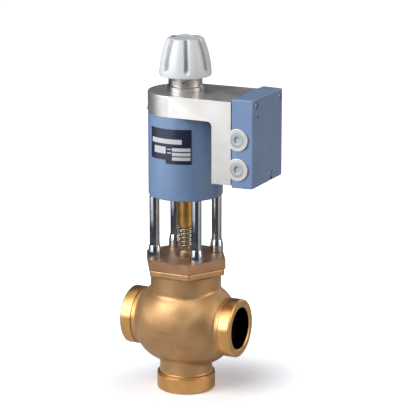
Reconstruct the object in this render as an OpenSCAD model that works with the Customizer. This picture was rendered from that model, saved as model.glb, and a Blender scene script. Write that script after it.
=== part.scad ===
// Three-way mixing valve with a magnetic actuator, a position controller and a hand knob.
// Z is the valve's axis and the origin is the centre of the bottom port's face.
// X points to the open side port and to the controller box, and Y points to the back.

/* [Ports] */
// Height of the side ports' axis above the bottom port's face
port_axis_h = 70; // [68:0.5:74]
// Distance between the faces of the two side ports
face_to_face = 123; // [122:1:132]
// Outer radius of the port threads
thread_r = 29.8; // [29:0.1:30.5]
// Length of each side port's threaded ring
thread_len = 12; // [10:0.5:13]
// Length of the bottom port's threaded ring
bottom_thread_len = 15.5; // [13:0.5:16.5]
// Chamfer at the start of each thread
thread_chamfer = 1.4; // [0.8:0.1:2]
// Depth of the relief groove behind each thread
groove_depth = 1.2; // [0.6:0.1:1.6]
// Width of the relief groove
groove_w = 0.8; // [0.5:0.1:1.2]
// Length of the cast collar behind each side port's thread
collar_len = 4.5; // [3.5:0.5:6]
// Length of the cast collar behind the bottom port's thread
bottom_collar_len = 1.2; // [0.8:0.1:3]
// How far the cast collar lies below the thread's radius
collar_drop = 0.5; // [0.2:0.1:1]
// Radius of the smooth mouth inside each port
mouth_r = 21.3; // [20.5:0.1:24]
// Chamfer round the mouth's edge
mouth_chamfer = 1.1; // [0.6:0.1:1.6]
// Depth of the smooth mouth
mouth_depth = 14; // [10:0.5:15]
// Length of the cone from the mouth to the waterway
mouth_cone = 10; // [6:0.5:12]
// Radius of the waterway
waterway_r = 16; // [14:0.5:16.5]

/* [Body] */
// Largest radius of the cast barrel round the side ports' axis
barrel_r = 45; // [43:0.5:48]
// Largest radius of the cast globe round the valve's axis
globe_r = 44.6; // [43:0.1:46]
// Height at which the globe's curve would close above the side ports' axis
globe_reach = 42; // [40:0.5:46]
// Radius of the neck above the bottom port
lower_neck_r = 26.8; // [26:0.2:28]
// Radius of the neck under the bonnet
upper_neck_r = 36; // [35:0.5:38]
// Height of the hexagonal collar at the body's top
body_hex_h = 8.2; // [7:0.2:9]
// Height of the step at the foot of that collar
body_hex_foot = 2.1; // [1:0.1:3]
// Half height of the chamber between the two seats
chamber_half_h = 17; // [17:0.5:18.5]
// Radius of the chamber between the two seats
chamber_r = 22; // [21:0.5:23]
// Radius of the chamber above the upper seat
upper_chamber_r = 28; // [27:0.5:29]
// Height of the chamber above the upper seat ring
upper_chamber_h = 17.6; // [16:0.2:19]
// Wall between the middle chamber and the rising passage
passage_wall = 3; // [2.5:0.5:4]
// Width of the passage that rises from the closed side port
passage_w = 8; // [6:0.5:8.5]
// Depth of the threaded recess for the bonnet
spigot_depth = 20; // [17:0.5:21]
// Radius of the threaded recess for the bonnet
recess_r = 31; // [30:0.5:31.5]

/* [Seats and plug] */
// Outer radius of the two seat rings
seat_r = 20; // [19:0.5:20.5]
// Radius of the opening in each seat ring
seat_bore_r = 15.5; // [15:0.1:16]
// Height of the seat rings
seat_h = 6; // [5:0.5:7]
// Height of the upper ring's flange
seat_flange_h = 2; // [1.5:0.5:3]
// Radius of the upper ring's flange
seat_flange_r = 22.5; // [22:0.5:24]
// Radius of the plug's closing shoulder
plug_r = 18.5; // [18:0.1:19.5]
// Wall of the plug's guide skirts
skirt_wall = 2.8; // [2:0.2:3.5]
// Radial gap between the skirts and the seat rings
skirt_gap = 0.2; // [0.1:0.05:0.4]
// Length of the plug's lower skirt
lower_skirt_len = 17; // [14:0.5:18]
// Length of the plug's upper skirt
upper_skirt_len = 9; // [7:0.5:10]
// Thickness of the plug's web
web_h = 8; // [6:0.5:10]
// Width of the windows in the skirts
window_w = 13; // [10:0.5:15]
// Travel of the stem
stroke = 8; // [6:0.5:8.5]

/* [Bonnet] */
// Distance from the bonnet's axis to its six corners
hex_r = 44.6; // [43.5:0.1:46]
// Height of the hexagon
hex_h = 10.4; // [9.6:0.2:12]
// How far the corners of the body's collar lie inside the bonnet's
hex_step = 1.2; // [0.6:0.1:1.5]
// Chamfer round the hexagon's top edge
hex_chamfer = 1.1; // [0.6:0.1:1.6]
// Radius of the stem bore in the bonnet
bonnet_bore_r = 7; // [6.6:0.1:7.6]
// Length of the stem guide
guide_len = 12; // [10:0.5:12.5]

/* [Stem and spring] */
// Radius of the stem
stem_r = 4; // [3.5:0.1:4.2]
// Radius of the brass coupling
coupling_r = 8.6; // [8.4:0.1:9]
// Length of the brass coupling
coupling_len = 59.5; // [58:0.5:61.5]
// Depth of the spring pocket in the coupling
spring_pocket = 6; // [4:0.5:7]
// Outer radius of the stem spring
spring_r = 7.4; // [7:0.1:7.5]
// Diameter of the spring wire
wire_d = 2.2; // [2:0.1:2.4]
// Number of spring turns
spring_turns = 4; // [3:0.5:4.5]
// Height of the gland nut's flange
gland_flange_h = 2.2; // [1.8:0.2:3]
// Radius of the gland nut's flange
gland_r = 9.8; // [9.4:0.2:11]
// Radius of the gland nut's threaded shank
gland_shank_r = 8.4; // [8.2:0.1:8.8]
// Height of the spring seat
spring_seat_h = 4.2; // [3:0.2:5]
// Radius of the spring seat's foot
spring_seat_r = 9; // [8.4:0.1:9.4]

/* [Columns] */
// Height of the columns between the bonnet and the magnet
column_h = 63.7; // [62:0.1:66]
// Radius of the four columns
column_r = 5.1; // [4.6:0.1:5.4]
// Distance of each column from the X and Y axes
column_offset = 23.5; // [23:0.1:24]
// Depth of each column's socket in the bonnet
column_socket = 8; // [6:0.5:8.5]
// Radius of the studs at the columns' upper ends
column_stud_r = 3; // [2.5:0.1:3.2]
// Height of the nuts at the columns' feet
nut_h = 13; // [11:0.5:15]
// Radius of the nuts
nut_r = 6.7; // [6:0.1:7.6]

/* [Magnet] */
// Height of the magnet housing
housing_h = 85; // [83:0.5:88]
// Outer radius of the magnet housing
housing_r = 37.6; // [37.2:0.1:38]
// Wall of the magnet housing
housing_wall = 3.6; // [3:0.1:4]
// Thickness of the housing's floor
housing_floor = 8; // [7:0.5:9]
// Rounding of the housing's lower edge
housing_round = 1.6; // [1:0.1:2.2]
// Radius of the moving armature
armature_r = 14; // [13:0.1:14.2]
// Length of the armature
armature_len = 52; // [48:1:54]
// Height of the resting armature above the housing's underside
armature_rise = 25.3; // [24.5:0.1:26.5]
// Wall of the armature's guide tube
tube_wall = 1.2; // [0.8:0.1:1.5]
// Height of the fixed pole piece above the housing's floor
pole_h = 8; // [6:0.5:8.5]
// Flange thickness of the pole piece
pole_flange_h = 3; // [2:0.5:4]
// Flange radius of the pole piece
pole_flange_r = 22; // [20:0.5:24]
// Thickness of the yoke plate
yoke_h = 7; // [5:0.5:8]
// Flange thickness of the coil former
former_flange_h = 2; // [1.5:0.5:3]
// Wall of the coil former's tube
former_wall = 1.7; // [1.2:0.1:2]

/* [Bracket] */
// Height of the bracket's cap above the housing
bracket_h = 21.3; // [19.5:0.1:23]
// Height of the bracket's leg, from its underside to the bracket's top
leg_h = 83.2; // [81:0.2:85]
// How far the bracket's round end stands out over the housing
bracket_step = 0.15; // [0.1:0.05:0.6]
// Gap between the housing and the bracket's leg
leg_gap = 9.1; // [8:0.1:10.5]
// Depth of the bracket's leg, up to the joint with the cover
leg_w = 20.8; // [20:0.1:22]
// Wall of the bracket
bracket_wall = 4; // [3.5:0.1:4.2]
// Thickness of the bracket's top
bracket_top_wall = 5; // [4:0.5:5.5]
// Rounding in the corner between the band and the leg
corner_r = 5; // [3:0.5:7]
// Radius of the cable entries' lobes
lobe_r = 11.3; // [10.8:0.1:12]
// Distance of the cable entries' axis beyond the joint
lobe_out = 6.8; // [6:0.1:7.5]
// Height of the lower cable entry above the leg's underside
entry_rise = 16.4; // [15:0.2:18]
// Distance between the two cable entries
entry_pitch = 29.6; // [28:0.2:30]
// Radius of the cable entries' holes
entry_r = 7.2; // [6.5:0.1:8]
// Distance of the bracket's screws inside the housing's bore
bracket_screw_inset = 3.6; // [3.4:0.1:4.4]
// Height of the locking screw above the bracket's lower edge
lock_rise = 2.3; // [2.1:0.1:5]

/* [Controller cover] */
// Depth of the cover
cover_depth = 21.7; // [20.5:0.1:23]
// How far the cover reaches below the bracket's leg
cover_fall = 2.3; // [1.8:0.1:4]
// How far the cover stands above the bracket's top
cover_rise = 3; // [2.2:0.1:4]
// How far the cover's sides lie inside the bracket's
cover_inset = 0.35; // [0.1:0.05:0.6]
// How much each side of the cover draws in towards its outer face
cover_draft = 1.7; // [1:0.1:2.5]
// Wall of the cover
cover_wall = 2.5; // [2:0.1:2.8]
// Rounding of the cover's long edges
cover_round = 1.2; // [0.8:0.1:2.4]
// Thickness of the gasket between the bracket and the cover
gasket_h = 0.8; // [0.5:0.1:1]

/* [Hand knob] */
// Height of the knob's collar
collar_h = 17; // [16.5:0.5:18]
// How far the knob's lower edge hangs over the collar's top
knob_lap = 2; // [1:0.1:2.5]
// Height of the knob
knob_h = 38; // [36:0.5:40]
// Largest radius of the knob
knob_r = 26.2; // [25.5:0.1:27]
// Radius of the knob's top face
knob_top_r = 18.4; // [17.5:0.1:19]
// Wall of the knob
knob_wall = 3; // [2.5:0.1:3.2]
// Radius of the knob's grooves
flute_r = 2.6; // [2:0.1:3]
// How far the grooves' upper ends lie below the knob's top
flute_drop = 9; // [6:0.5:12]
// Travel of the knob when it is pressed
press_travel = 3; // [2:0.5:3.5]
// Radius of the press sleeve's shaft
shaft_r = 8; // [7.6:0.1:8.4]
// Radius of the pin that the knob turns on
knob_pin_r = 6; // [5.6:0.1:6.2]
// Radius of the manual spindle
spindle_r = 3.6; // [3:0.1:3.8]

/* [Rating plate] */
// Height of the plate's lower edge above the housing's underside
plate_rise = 38.3; // [35:0.1:42]
// Height of the plate
plate_h = 35; // [30:0.5:38]
// Thickness of the plate
plate_t = 0.4; // [0.3:0.1:0.6]

/* [Hidden] */
$fn = 96;

// Overrun of every cut
cut = 1;
// Gap between pieces that are fitted together and don't move
fit_gap = 0.05;
// Gap between pieces that slide or turn on each other
run_gap = 0.06;
// Gap left between a closing shoulder and its seat
seat_gap = 0.3;
// Gap between flat pieces stacked inside the magnet
stack_gap = 0.1;

// Body
half_face = face_to_face / 2;
thread_groove_r = thread_r - groove_depth;
collar_r = thread_r - collar_drop;
collar_end = thread_len + groove_w + collar_len;
bottom_collar_end = bottom_thread_len + groove_w + bottom_collar_len;
barrel_half = half_face - collar_end;
barrel_power = 2.5;
barrel_steps = 16;
barrel_reach = barrel_half / pow(1 - pow(collar_r / barrel_r, barrel_power), 1 / barrel_power);
neck_rise = collar_r - lower_neck_r;
globe_power = 3;
globe_steps = 10;
globe_h = globe_reach * pow(1 - pow(upper_neck_r / globe_r, globe_power), 1 / globe_power);
lower_seat_top = port_axis_h - chamber_half_h;
upper_seat_bottom = port_axis_h + chamber_half_h;
upper_seat_top = upper_seat_bottom + seat_h;
recess_z = upper_seat_top + upper_chamber_h;
body_h = recess_z + spigot_depth;
body_hex_z = body_h - body_hex_h;
passage_r = chamber_r + passage_wall;
passage_angle = 110;
passage_z = port_axis_h - waterway_r;
passage_top = upper_seat_top + passage_w;

// Heights, each stacked on the piece below
hex_z = body_h;
hex_top = hex_z + hex_h;
magnet_z = hex_top + column_h;
housing_top_z = magnet_z + housing_h;
armature_z = magnet_z + armature_rise;
coupling_z = armature_z - coupling_len;
bracket_top_z = housing_top_z + bracket_h;
leg_bottom_z = bracket_top_z - leg_h;
entry_z = leg_bottom_z + entry_rise;
lock_z = housing_top_z + lock_rise;
cover_bottom_z = leg_bottom_z - cover_fall;
cover_top_z = bracket_top_z + cover_rise;
collar_top_z = bracket_top_z + collar_h;
knob_z = collar_top_z - knob_lap;
knob_top_z = knob_z + knob_h;
plate_z = magnet_z + plate_rise;

// Plug and stem
skirt_r = seat_bore_r - skirt_gap;
plug_top = upper_seat_bottom - seat_gap;
plug_bottom = lower_seat_top + stroke + seat_gap;
web_z = port_axis_h;
nut_flat_r = 6.5;
plug_nut_h = 6;
stem_collar_r = 6;
stem_collar_h = 3;
stem_tail = 1.5;
seal_ring_h = 1;
seal_ring_w = 2;
seal_ring_inset = 0.9;

// Bonnet and gland
bonnet_gasket_h = 1;
gasket_ring_w = 2.6;
gland_z = hex_top;
gland_shank_len = 8;
guide_z = recess_z + bonnet_gasket_h + stack_gap;
seal_wire_r = 1.4;
spring_seat_z = gland_z + gland_flange_h;
spring_z = spring_seat_z + spring_seat_h;
spring_top = coupling_z + spring_pocket;
spring_path_r = spring_r - wire_d / 2;
spring_start = 260;
spigot_gap = 0.2;
coupling_round = 2.4;

// Magnet
floor_top = magnet_z + housing_floor;
housing_bore_r = housing_r - housing_wall;
coupling_hole_r = coupling_r + 4 * stack_gap;
tube_bore_r = armature_r + run_gap;
tube_r = tube_bore_r + tube_wall;
tube_top = bracket_top_z - bracket_top_wall - 2 * stack_gap;
pole_r = tube_bore_r - stack_gap;
tube_z = floor_top + pole_flange_h;
yoke_z = housing_top_z - yoke_h;
former_bore_r = tube_r + stack_gap;
former_z = tube_z + stack_gap;
former_top = yoke_z - stack_gap;
former_gap = 0.45;
former_flange_r = housing_bore_r - former_gap;
coil_r = former_flange_r - former_flange_h / 2;
stop_gap = 2;
stop_z = armature_z + armature_len + stop_gap;
armature_socket = 15;
armature_stud_r = 5;
sensor_w = 5;
sensor_h = 10;
lead_r = 1.8;
lead_x = coil_r - 2 * lead_r;
lead_z = housing_top_z + 2.5 * lead_r + former_flange_h;

// Bracket and controller
bracket_r = housing_r + bracket_step;
bracket_screw_r = housing_bore_r - bracket_screw_inset;
leg_x = housing_r + leg_gap;
joint_x = leg_x + leg_w;
cavity_r = bracket_r - bracket_wall;
cavity_top = bracket_top_z - bracket_top_wall;
leg_wall_x = leg_x + bracket_wall;
entry_x = joint_x + lobe_out;
cover_joint = joint_x + gasket_h;
cover_x = cover_joint + cover_depth;
cover_half_w = bracket_r - cover_inset;
cover_inner_x = cover_x - cover_wall;
cover_end_half_w = cover_half_w - cover_draft;
post_r = 3.6;
cover_post_r = 4.6;
notch_depth = 1.5;
screw_r = 1.95;
screw_head_r = 3.1;
screw_head_h = 2.4;
socket_r = 1.6;
socket_depth = 1.4;
// Places of the cover screws, as shares of the cover's half width and height
cover_screw_shares = [[-0.72, 0.92], [0.86, 0.915], [0.23, 0.075]];
cover_h = cover_top_z - cover_bottom_z;
cover_screws_yz = [for (s = cover_screw_shares) [s[0] * cover_end_half_w, cover_bottom_z + s[1] * cover_h]];
bracket_screw_angles = [160, 18, 90];
lock_angle = 198;
lock_r = 1.8;
lock_out = 1.5;
entry_zs = [entry_z, entry_z + entry_pitch];
plug_body_r = entry_r - fit_gap;
board_t = 1.6;
board_x = leg_wall_x + 2 * bracket_wall;
board_half_w = 0.8 * cavity_r;
board_z = leg_bottom_z + 4 * bracket_wall;
board_top = housing_top_z + 2 * bracket_wall;
spacer_inset = 5;
spacer_r = 2.4;
lamp_r = 1.4;
lamp_y = -0.64 * cover_end_half_w;
lamp_z = cover_bottom_z + 0.79 * cover_h;

// Knob
web_bottom_z = bracket_top_z + stop_gap;
web_top_z = web_bottom_z + shaft_r;
collar_foot_r = 18.5;
collar_foot_h = 4.4;
collar_waist_r = 17;
collar_rim_r = 18.6;
collar_rim_h = 3.6;
collar_bore_r = 14;
shaft_bore_r = shaft_r + run_gap;
shaft_bottom_z = tube_top + stop_gap + press_travel;
sleeve_flange_z = collar_top_z + press_travel + stop_gap;
sleeve_flange_h = 3;
sleeve_flange_r = 13;
pin_len = 15;
pin_top_z = sleeve_flange_z + sleeve_flange_h + pin_len;
spindle_bore_r = spindle_r + run_gap;
spindle_rise = 6;
spindle_z = stop_z + spindle_rise;
spindle_top_z = sleeve_flange_z;
spindle_room = spindle_rise + 2 * stack_gap;
spring_tube_w = 2.4;
skirt_taper = 1.2;
knob_skirt_r = knob_r - knob_wall - skirt_taper;
knob_band_h = 4;
knob_band_z = knob_z + knob_band_h;
knob_round = 1.2;
knob_power = 1.9;
knob_steps = 12;
knob_web_z = sleeve_flange_z + sleeve_flange_h + stack_gap;
cap_r = 10;
cap_h = 2;
cap_pocket_z = pin_top_z + stack_gap;
screw_cap_h = 2.4;
screw_cap_r = 7.6;
pointer_r = 1.5;
pointer_share = 0.69;
flute_count = 7;
flute_start = -9.8;

// Rating plate
plate_start = -126.5;
plate_sweep = 71.5;
plate_step_angle = 31;
plate_step_h = 0.105 * plate_h;

// Colours
bronze = "#a67b4e";
brass = "#d9a55a";
steel = "#a9adb0";
dark_steel = "#6d7278";
blue = "#7b9bc9";
cast_alloy = "#d4d4d2";
grey_plastic = "#c9cdd2";
rubber = "#26282b";
copper = "#b06a3a";
board_green = "#2f6b46";
white_plastic = "#e4e4e0";
navy = "#1d2740";

// A ring about Z between two heights
module ring(outer, inner, z0, z1) {
    translate([0, 0, z0])
        difference() {
            cylinder(r = outer, h = z1 - z0);
            translate([0, 0, -cut])
                cylinder(r = inner, h = z1 - z0 + 2 * cut);
        }
}

// A disc about Z between two heights
module disc(outer, z0, z1) {
    translate([0, 0, z0])
        cylinder(r = outer, h = z1 - z0);
}

// Turns what stands along Z so that it lies along X
module along_x() {
    rotate([0, 90, 0])
        children();
}

// Puts the children on each of the four columns
module at_columns() {
    for (sx = [-1, 1], sy = [-1, 1])
        translate([sx * column_offset, sy * column_offset, 0])
            children();
}

// The outside of one port, from its face inwards along Z: threaded ring, groove, collar and cone
module port_outside(ring_len, collar_end_z) {
    rotate_extrude()
        polygon([
            [0, 0],
            [thread_r - thread_chamfer, 0],
            [thread_r, thread_chamfer],
            [thread_r, ring_len],
            [thread_groove_r, ring_len],
            [thread_groove_r, ring_len + groove_w],
            [collar_r, ring_len + groove_w],
            [collar_r, collar_end_z],
            [lower_neck_r, collar_end_z + neck_rise],
            [0, collar_end_z + neck_rise]
        ]);
}

// The inside of one port, from its face inwards along Z
module port_inside(depth) {
    translate([0, 0, -cut])
        cylinder(r = mouth_r, h = mouth_depth + cut);
    translate([0, 0, -cut])
        cylinder(r1 = mouth_r + mouth_chamfer + cut, r2 = mouth_r, h = mouth_chamfer + cut);
    translate([0, 0, mouth_depth])
        cylinder(r1 = mouth_r, r2 = waterway_r, h = mouth_cone);
    cylinder(r = waterway_r, h = depth);
}

// The cast barrel round the ports' axis, a superellipse in outline
module barrel() {
    along_x()
        rotate_extrude()
            polygon(concat(
                [[0, -barrel_half]],
                [for (i = [-barrel_steps:barrel_steps])
                    let (x = barrel_half * i / barrel_steps)
                    [barrel_r * pow(1 - pow(abs(x) / barrel_reach, barrel_power), 1 / barrel_power), x]],
                [[0, barrel_half]]
            ));
}

// The cast globe round the valve's axis, a superellipse that ends at the upper neck
module globe() {
    rotate_extrude()
        polygon(concat(
            [[0, 0]],
            [for (i = [0:globe_steps])
                let (z = globe_h * i / globe_steps)
                [globe_r * pow(1 - pow(z / globe_reach, globe_power), 1 / globe_power), z]],
            [[0, globe_h]]
        ));
}

module valve_body() color(bronze)
    difference() {
        union() {
            port_outside(bottom_thread_len, bottom_collar_end);
            disc(lower_neck_r, bottom_collar_end, port_axis_h);
            translate([0, 0, port_axis_h]) {
                barrel();
                globe();
                for (s = [0, 180])
                    rotate([0, 0, s])
                        translate([half_face, 0, 0])
                            rotate([0, -90, 0])
                                port_outside(thread_len, collar_end);
            }
            disc(upper_neck_r, port_axis_h, body_h);
            translate([0, 0, body_hex_z])
                hexagon(hex_r - 2 * hex_step, body_hex_h);
            translate([0, 0, body_hex_z + body_hex_foot])
                hexagon(hex_r - hex_step, body_hex_h - body_hex_foot);
        }
        port_inside(lower_seat_top - seat_h + cut);
        translate([0, 0, port_axis_h]) {
            translate([half_face, 0, 0])
                rotate([0, -90, 0])
                    port_inside(half_face - waterway_r / 2);
            translate([-half_face, 0, 0])
                rotate([0, 90, 0])
                    port_inside(half_face - passage_r - passage_wall);
        }
        disc(seat_r, lower_seat_top - seat_h, lower_seat_top + cut);
        disc(chamber_r, lower_seat_top, upper_seat_bottom);
        disc(seat_r, upper_seat_bottom - cut, upper_seat_top + cut);
        disc(upper_chamber_r, upper_seat_top, recess_z + cut);
        rotate([0, 0, 180 - passage_angle / 2])
            rotate_extrude(angle = passage_angle)
                translate([passage_r, passage_z])
                    square([passage_w, passage_top - passage_z]);
        disc(recess_r, recess_z, body_h + cut);
    }

module lower_seat_ring() color(steel)
    ring(seat_r - fit_gap, seat_bore_r, lower_seat_top - seat_h, lower_seat_top);

module upper_seat_ring() color(steel) {
    ring(seat_r - fit_gap, seat_bore_r, upper_seat_bottom, upper_seat_top);
    ring(seat_flange_r, seat_bore_r, upper_seat_top, upper_seat_top + seat_flange_h);
}

module bonnet_gasket() color(rubber)
    ring(recess_r - fit_gap, recess_r - gasket_ring_w, recess_z, recess_z + bonnet_gasket_h);

module hexagon(corner_r, h) {
    linear_extrude(height = h)
        polygon([for (k = [0:5]) corner_r * [cos(60 * k), sin(60 * k)]]);
}

module bonnet() color(bronze)
    difference() {
        union() {
            disc(recess_r - fit_gap, recess_z + bonnet_gasket_h, hex_z + cut);
            intersection() {
                translate([0, 0, hex_z])
                    hexagon(hex_r, hex_h);
                rotate_extrude()
                    polygon([
                        [0, hex_z - cut],
                        [hex_r + 2 * cut, hex_z - cut],
                        [hex_r + 2 * cut, hex_top - hex_chamfer - cut],
                        [hex_r - 2 * hex_chamfer, hex_top],
                        [0, hex_top]
                    ]);
            }
        }
        disc(bonnet_bore_r, recess_z, hex_top + cut);
        disc(gland_shank_r + fit_gap, hex_top - gland_shank_len, hex_top + cut);
        at_columns()
            disc(column_r + fit_gap, hex_top - column_socket, hex_top + cut);
    }

module stem_guide() color(brass)
    ring(bonnet_bore_r - fit_gap, stem_r + run_gap, guide_z, guide_z + guide_len);

// A round seal about the stem, with its lowest point at the given height
module stem_seal(z) {
    translate([0, 0, z + seal_wire_r])
        rotate_extrude()
            translate([stem_r + run_gap + seal_wire_r, 0])
                circle(r = seal_wire_r, $fn = 32);
}

lower_seal_z = guide_z + guide_len + fit_gap;
spacer_z = lower_seal_z + 2 * seal_wire_r + fit_gap;
spacer_h = hex_top - gland_shank_len - spacer_z - 2 * seal_wire_r - 2 * fit_gap;

module stem_seals() color(rubber) {
    stem_seal(lower_seal_z);
    stem_seal(spacer_z + spacer_h + fit_gap);
}

module seal_spacer() color(brass)
    ring(bonnet_bore_r - fit_gap, stem_r + 2 * stack_gap, spacer_z, spacer_z + spacer_h);

module gland_nut() color(brass)
    difference() {
        union() {
            disc(gland_shank_r, hex_top - gland_shank_len, gland_z + cut);
            disc(gland_r, gland_z, gland_z + gland_flange_h);
        }
        disc(stem_r + 2 * stack_gap, hex_top - gland_shank_len - cut, gland_z + gland_flange_h + cut);
    }

// A domed ring with a spigot that centres the stem spring
module spring_seat() color(brass)
    difference() {
        rotate_extrude()
            polygon([
                [0, spring_seat_z],
                [spring_seat_r, spring_seat_z],
                [spring_seat_r, spring_seat_z + spring_seat_h / 4],
                [spring_r, spring_z - spring_seat_h / 4],
                [spring_path_r + stack_gap, spring_z],
                [spring_r - wire_d - spigot_gap, spring_z],
                [spring_r - wire_d - spigot_gap, spring_z + wire_d],
                [0, spring_z + wire_d]
            ]);
        disc(stem_r + 2 * stack_gap, spring_seat_z - cut, spring_z + wire_d + cut);
    }

// The columns stand in the bonnet's sockets, and their studs screw into the housing's floor
module column(sx, sy) color(steel)
    translate([sx * column_offset, sy * column_offset, 0]) {
        disc(column_r, hex_top - column_socket, magnet_z);
        disc(column_stud_r, magnet_z - cut, floor_top - cut);
    }

module column_front_left() column(-1, -1);
module column_front_right() column(1, -1);
module column_rear_left() column(-1, 1);
module column_rear_right() column(1, 1);

module column_nuts() color(steel)
    at_columns()
        translate([0, 0, hex_top])
            rotate_extrude()
                polygon([
                    [column_r + fit_gap, 0],
                    [nut_r, 0],
                    [nut_r, nut_h / 2],
                    [column_r + 4 * stack_gap, nut_h],
                    [column_r + fit_gap, nut_h]
                ]);

module magnet_housing() color(blue)
    difference() {
        rotate_extrude() {
            translate([0, magnet_z])
                square([housing_r - housing_round, housing_round]);
            translate([0, magnet_z + housing_round])
                square([housing_r, housing_top_z - magnet_z - housing_round]);
            translate([housing_r - housing_round, magnet_z + housing_round])
                circle(r = housing_round, $fn = 48);
        }
        disc(housing_bore_r, floor_top, housing_top_z + cut);
        disc(coupling_hole_r, magnet_z - cut, floor_top + cut);
        at_columns()
            disc(column_stud_r + fit_gap, magnet_z - cut, floor_top - cut / 2);
    }

module pole_piece() color(dark_steel)
    difference() {
        union() {
            disc(pole_flange_r, floor_top, floor_top + pole_flange_h);
            disc(pole_r, floor_top, floor_top + pole_h);
        }
        disc(coupling_hole_r, floor_top - cut, floor_top + pole_h + cut);
    }

module guide_tube() color(steel)
    ring(tube_r, tube_bore_r, tube_z, tube_top);

module coil_former() color(white_plastic)
    difference() {
        union() {
            disc(former_bore_r + former_wall, former_z, former_top);
            disc(former_flange_r, former_z, former_z + former_flange_h);
            disc(former_flange_r, former_top - former_flange_h, former_top);
        }
        disc(former_bore_r, former_z - cut, former_top + cut);
        translate([lead_x, 0, 0])
            disc(lead_r + stack_gap, former_top - former_flange_h - cut, former_top + cut);
    }

module magnet_coil() color(copper)
    ring(coil_r, former_bore_r + former_wall + fit_gap, former_z + former_flange_h + fit_gap,
        former_top - former_flange_h - fit_gap);

module yoke_plate() color(dark_steel)
    difference() {
        disc(housing_bore_r - fit_gap, yoke_z, housing_top_z);
        disc(tube_r + fit_gap, yoke_z - cut, housing_top_z + cut);
        at_bracket_screws()
            disc(screw_r + fit_gap, yoke_z - cut, housing_top_z + cut);
        translate([lead_x, 0, 0])
            disc(lead_r + stack_gap, yoke_z - cut, housing_top_z + cut);
    }

module upper_stop() color(dark_steel)
    ring(tube_bore_r - fit_gap, spindle_bore_r, stop_z, tube_top);

module sensor_coil() color(copper)
    ring(tube_r + fit_gap + sensor_w, tube_r + fit_gap, housing_top_z + fit_gap, housing_top_z + sensor_h);

// The lead runs up from the coil, then along the bracket to the circuit board
module coil_lead() color(rubber) {
    translate([lead_x, 0, 0])
        disc(lead_r, former_top - former_flange_h, lead_z);
    translate([lead_x, 0, lead_z]) {
        sphere(r = lead_r, $fn = 48);
        along_x()
            cylinder(r = lead_r, h = board_x - lead_x);
    }
}

// Puts the children on each of the bracket's fixing screws
module at_bracket_screws() {
    for (a = bracket_screw_angles)
        rotate([0, 0, a])
            translate([bracket_screw_r, 0, 0])
                children();
}

// The bracket's outline seen from the side, extruded over its whole width
module bracket_side() {
    rotate([90, 0, 0])
        translate([0, 0, -bracket_r])
            linear_extrude(height = 2 * bracket_r)
                union() {
                    translate([-bracket_r, housing_top_z])
                        square([joint_x + bracket_r, bracket_top_z - housing_top_z]);
                    translate([leg_x, leg_bottom_z])
                        square([joint_x - leg_x, bracket_top_z - leg_bottom_z]);
                    difference() {
                        translate([leg_x - corner_r, housing_top_z - corner_r])
                            square([2 * corner_r, 2 * corner_r]);
                        translate([leg_x - corner_r, housing_top_z - corner_r])
                            circle(r = corner_r, $fn = 48);
                    }
                }
}

// The bracket's outline seen from above
module bracket_plan() {
    disc(bracket_r, leg_bottom_z, bracket_top_z);
    translate([0, -bracket_r, leg_bottom_z])
        cube([joint_x, 2 * bracket_r, bracket_top_z - leg_bottom_z]);
}

// One lobe or hole of the cable entries on both sides, from the outside inwards
module at_entries(sides) {
    for (s = sides, z = entry_zs)
        translate([entry_x, s * bracket_r, z])
            rotate([90 * s, 0, 0])
                children();
}

// Puts the children on each cover screw, standing along X
module at_cover_screws(x) {
    for (p = cover_screws_yz)
        translate([x, p[0], p[1]])
            along_x()
                children();
}

module bracket() color(cast_alloy)
    difference() {
        union() {
            difference() {
                union() {
                    intersection() {
                        bracket_side();
                        bracket_plan();
                    }
                    at_entries([-1, 1])
                        cylinder(r = lobe_r, h = bracket_wall);
                }
                disc(cavity_r, housing_top_z - cut, cavity_top);
                translate([0, -cavity_r, housing_top_z + bracket_wall])
                    cube([joint_x + cut, 2 * cavity_r, cavity_top - housing_top_z - bracket_wall]);
                translate([leg_wall_x, -cavity_r, leg_bottom_z + bracket_wall])
                    cube([joint_x - leg_wall_x + cut, 2 * cavity_r,
                        cavity_top - leg_bottom_z - bracket_wall]);
            }
            at_bracket_screws()
                disc(post_r, housing_top_z, cavity_top + cut);
            intersection() {
                at_cover_screws(leg_x + cut)
                    cylinder(r = post_r, h = joint_x - leg_x - cut);
                translate([leg_x, -bracket_r, leg_bottom_z])
                    cube([joint_x - leg_x, 2 * bracket_r, bracket_top_z - leg_bottom_z]);
            }
        }
        at_entries([-1, 1])
            translate([0, 0, -cut])
                cylinder(r = entry_r, h = bracket_wall + 2 * cut);
        at_bracket_screws() {
            disc(screw_r + fit_gap, housing_top_z - cut, bracket_top_z + cut);
            disc(screw_head_r + stack_gap, bracket_top_z - screw_head_h - 2 * stack_gap,
                bracket_top_z + cut);
        }
        at_cover_screws(leg_wall_x + cut)
            cylinder(r = screw_r + fit_gap, h = joint_x - leg_wall_x);
        rotate([0, 0, lock_angle])
            translate([cavity_r - cut, 0, lock_z])
                along_x()
                    cylinder(r = lock_r, h = bracket_wall + 2 * cut);
        disc(shaft_r + 2 * stack_gap, cavity_top - cut, bracket_top_z + cut);
    }

// A socket screw along Z, with the top of its head at the given height
module socket_screw(top, shank) {
    difference() {
        union() {
            disc(screw_head_r, top - screw_head_h, top);
            disc(screw_r, top - screw_head_h - shank, top - screw_head_h + cut / 2);
        }
        translate([0, 0, top - socket_depth])
            cylinder(r = socket_r, h = socket_depth + cut, $fn = 6);
    }
}

module bracket_screws() color(steel)
    at_bracket_screws()
        socket_screw(bracket_top_z - stack_gap, bracket_top_z - yoke_z - screw_head_h - cut);

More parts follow.
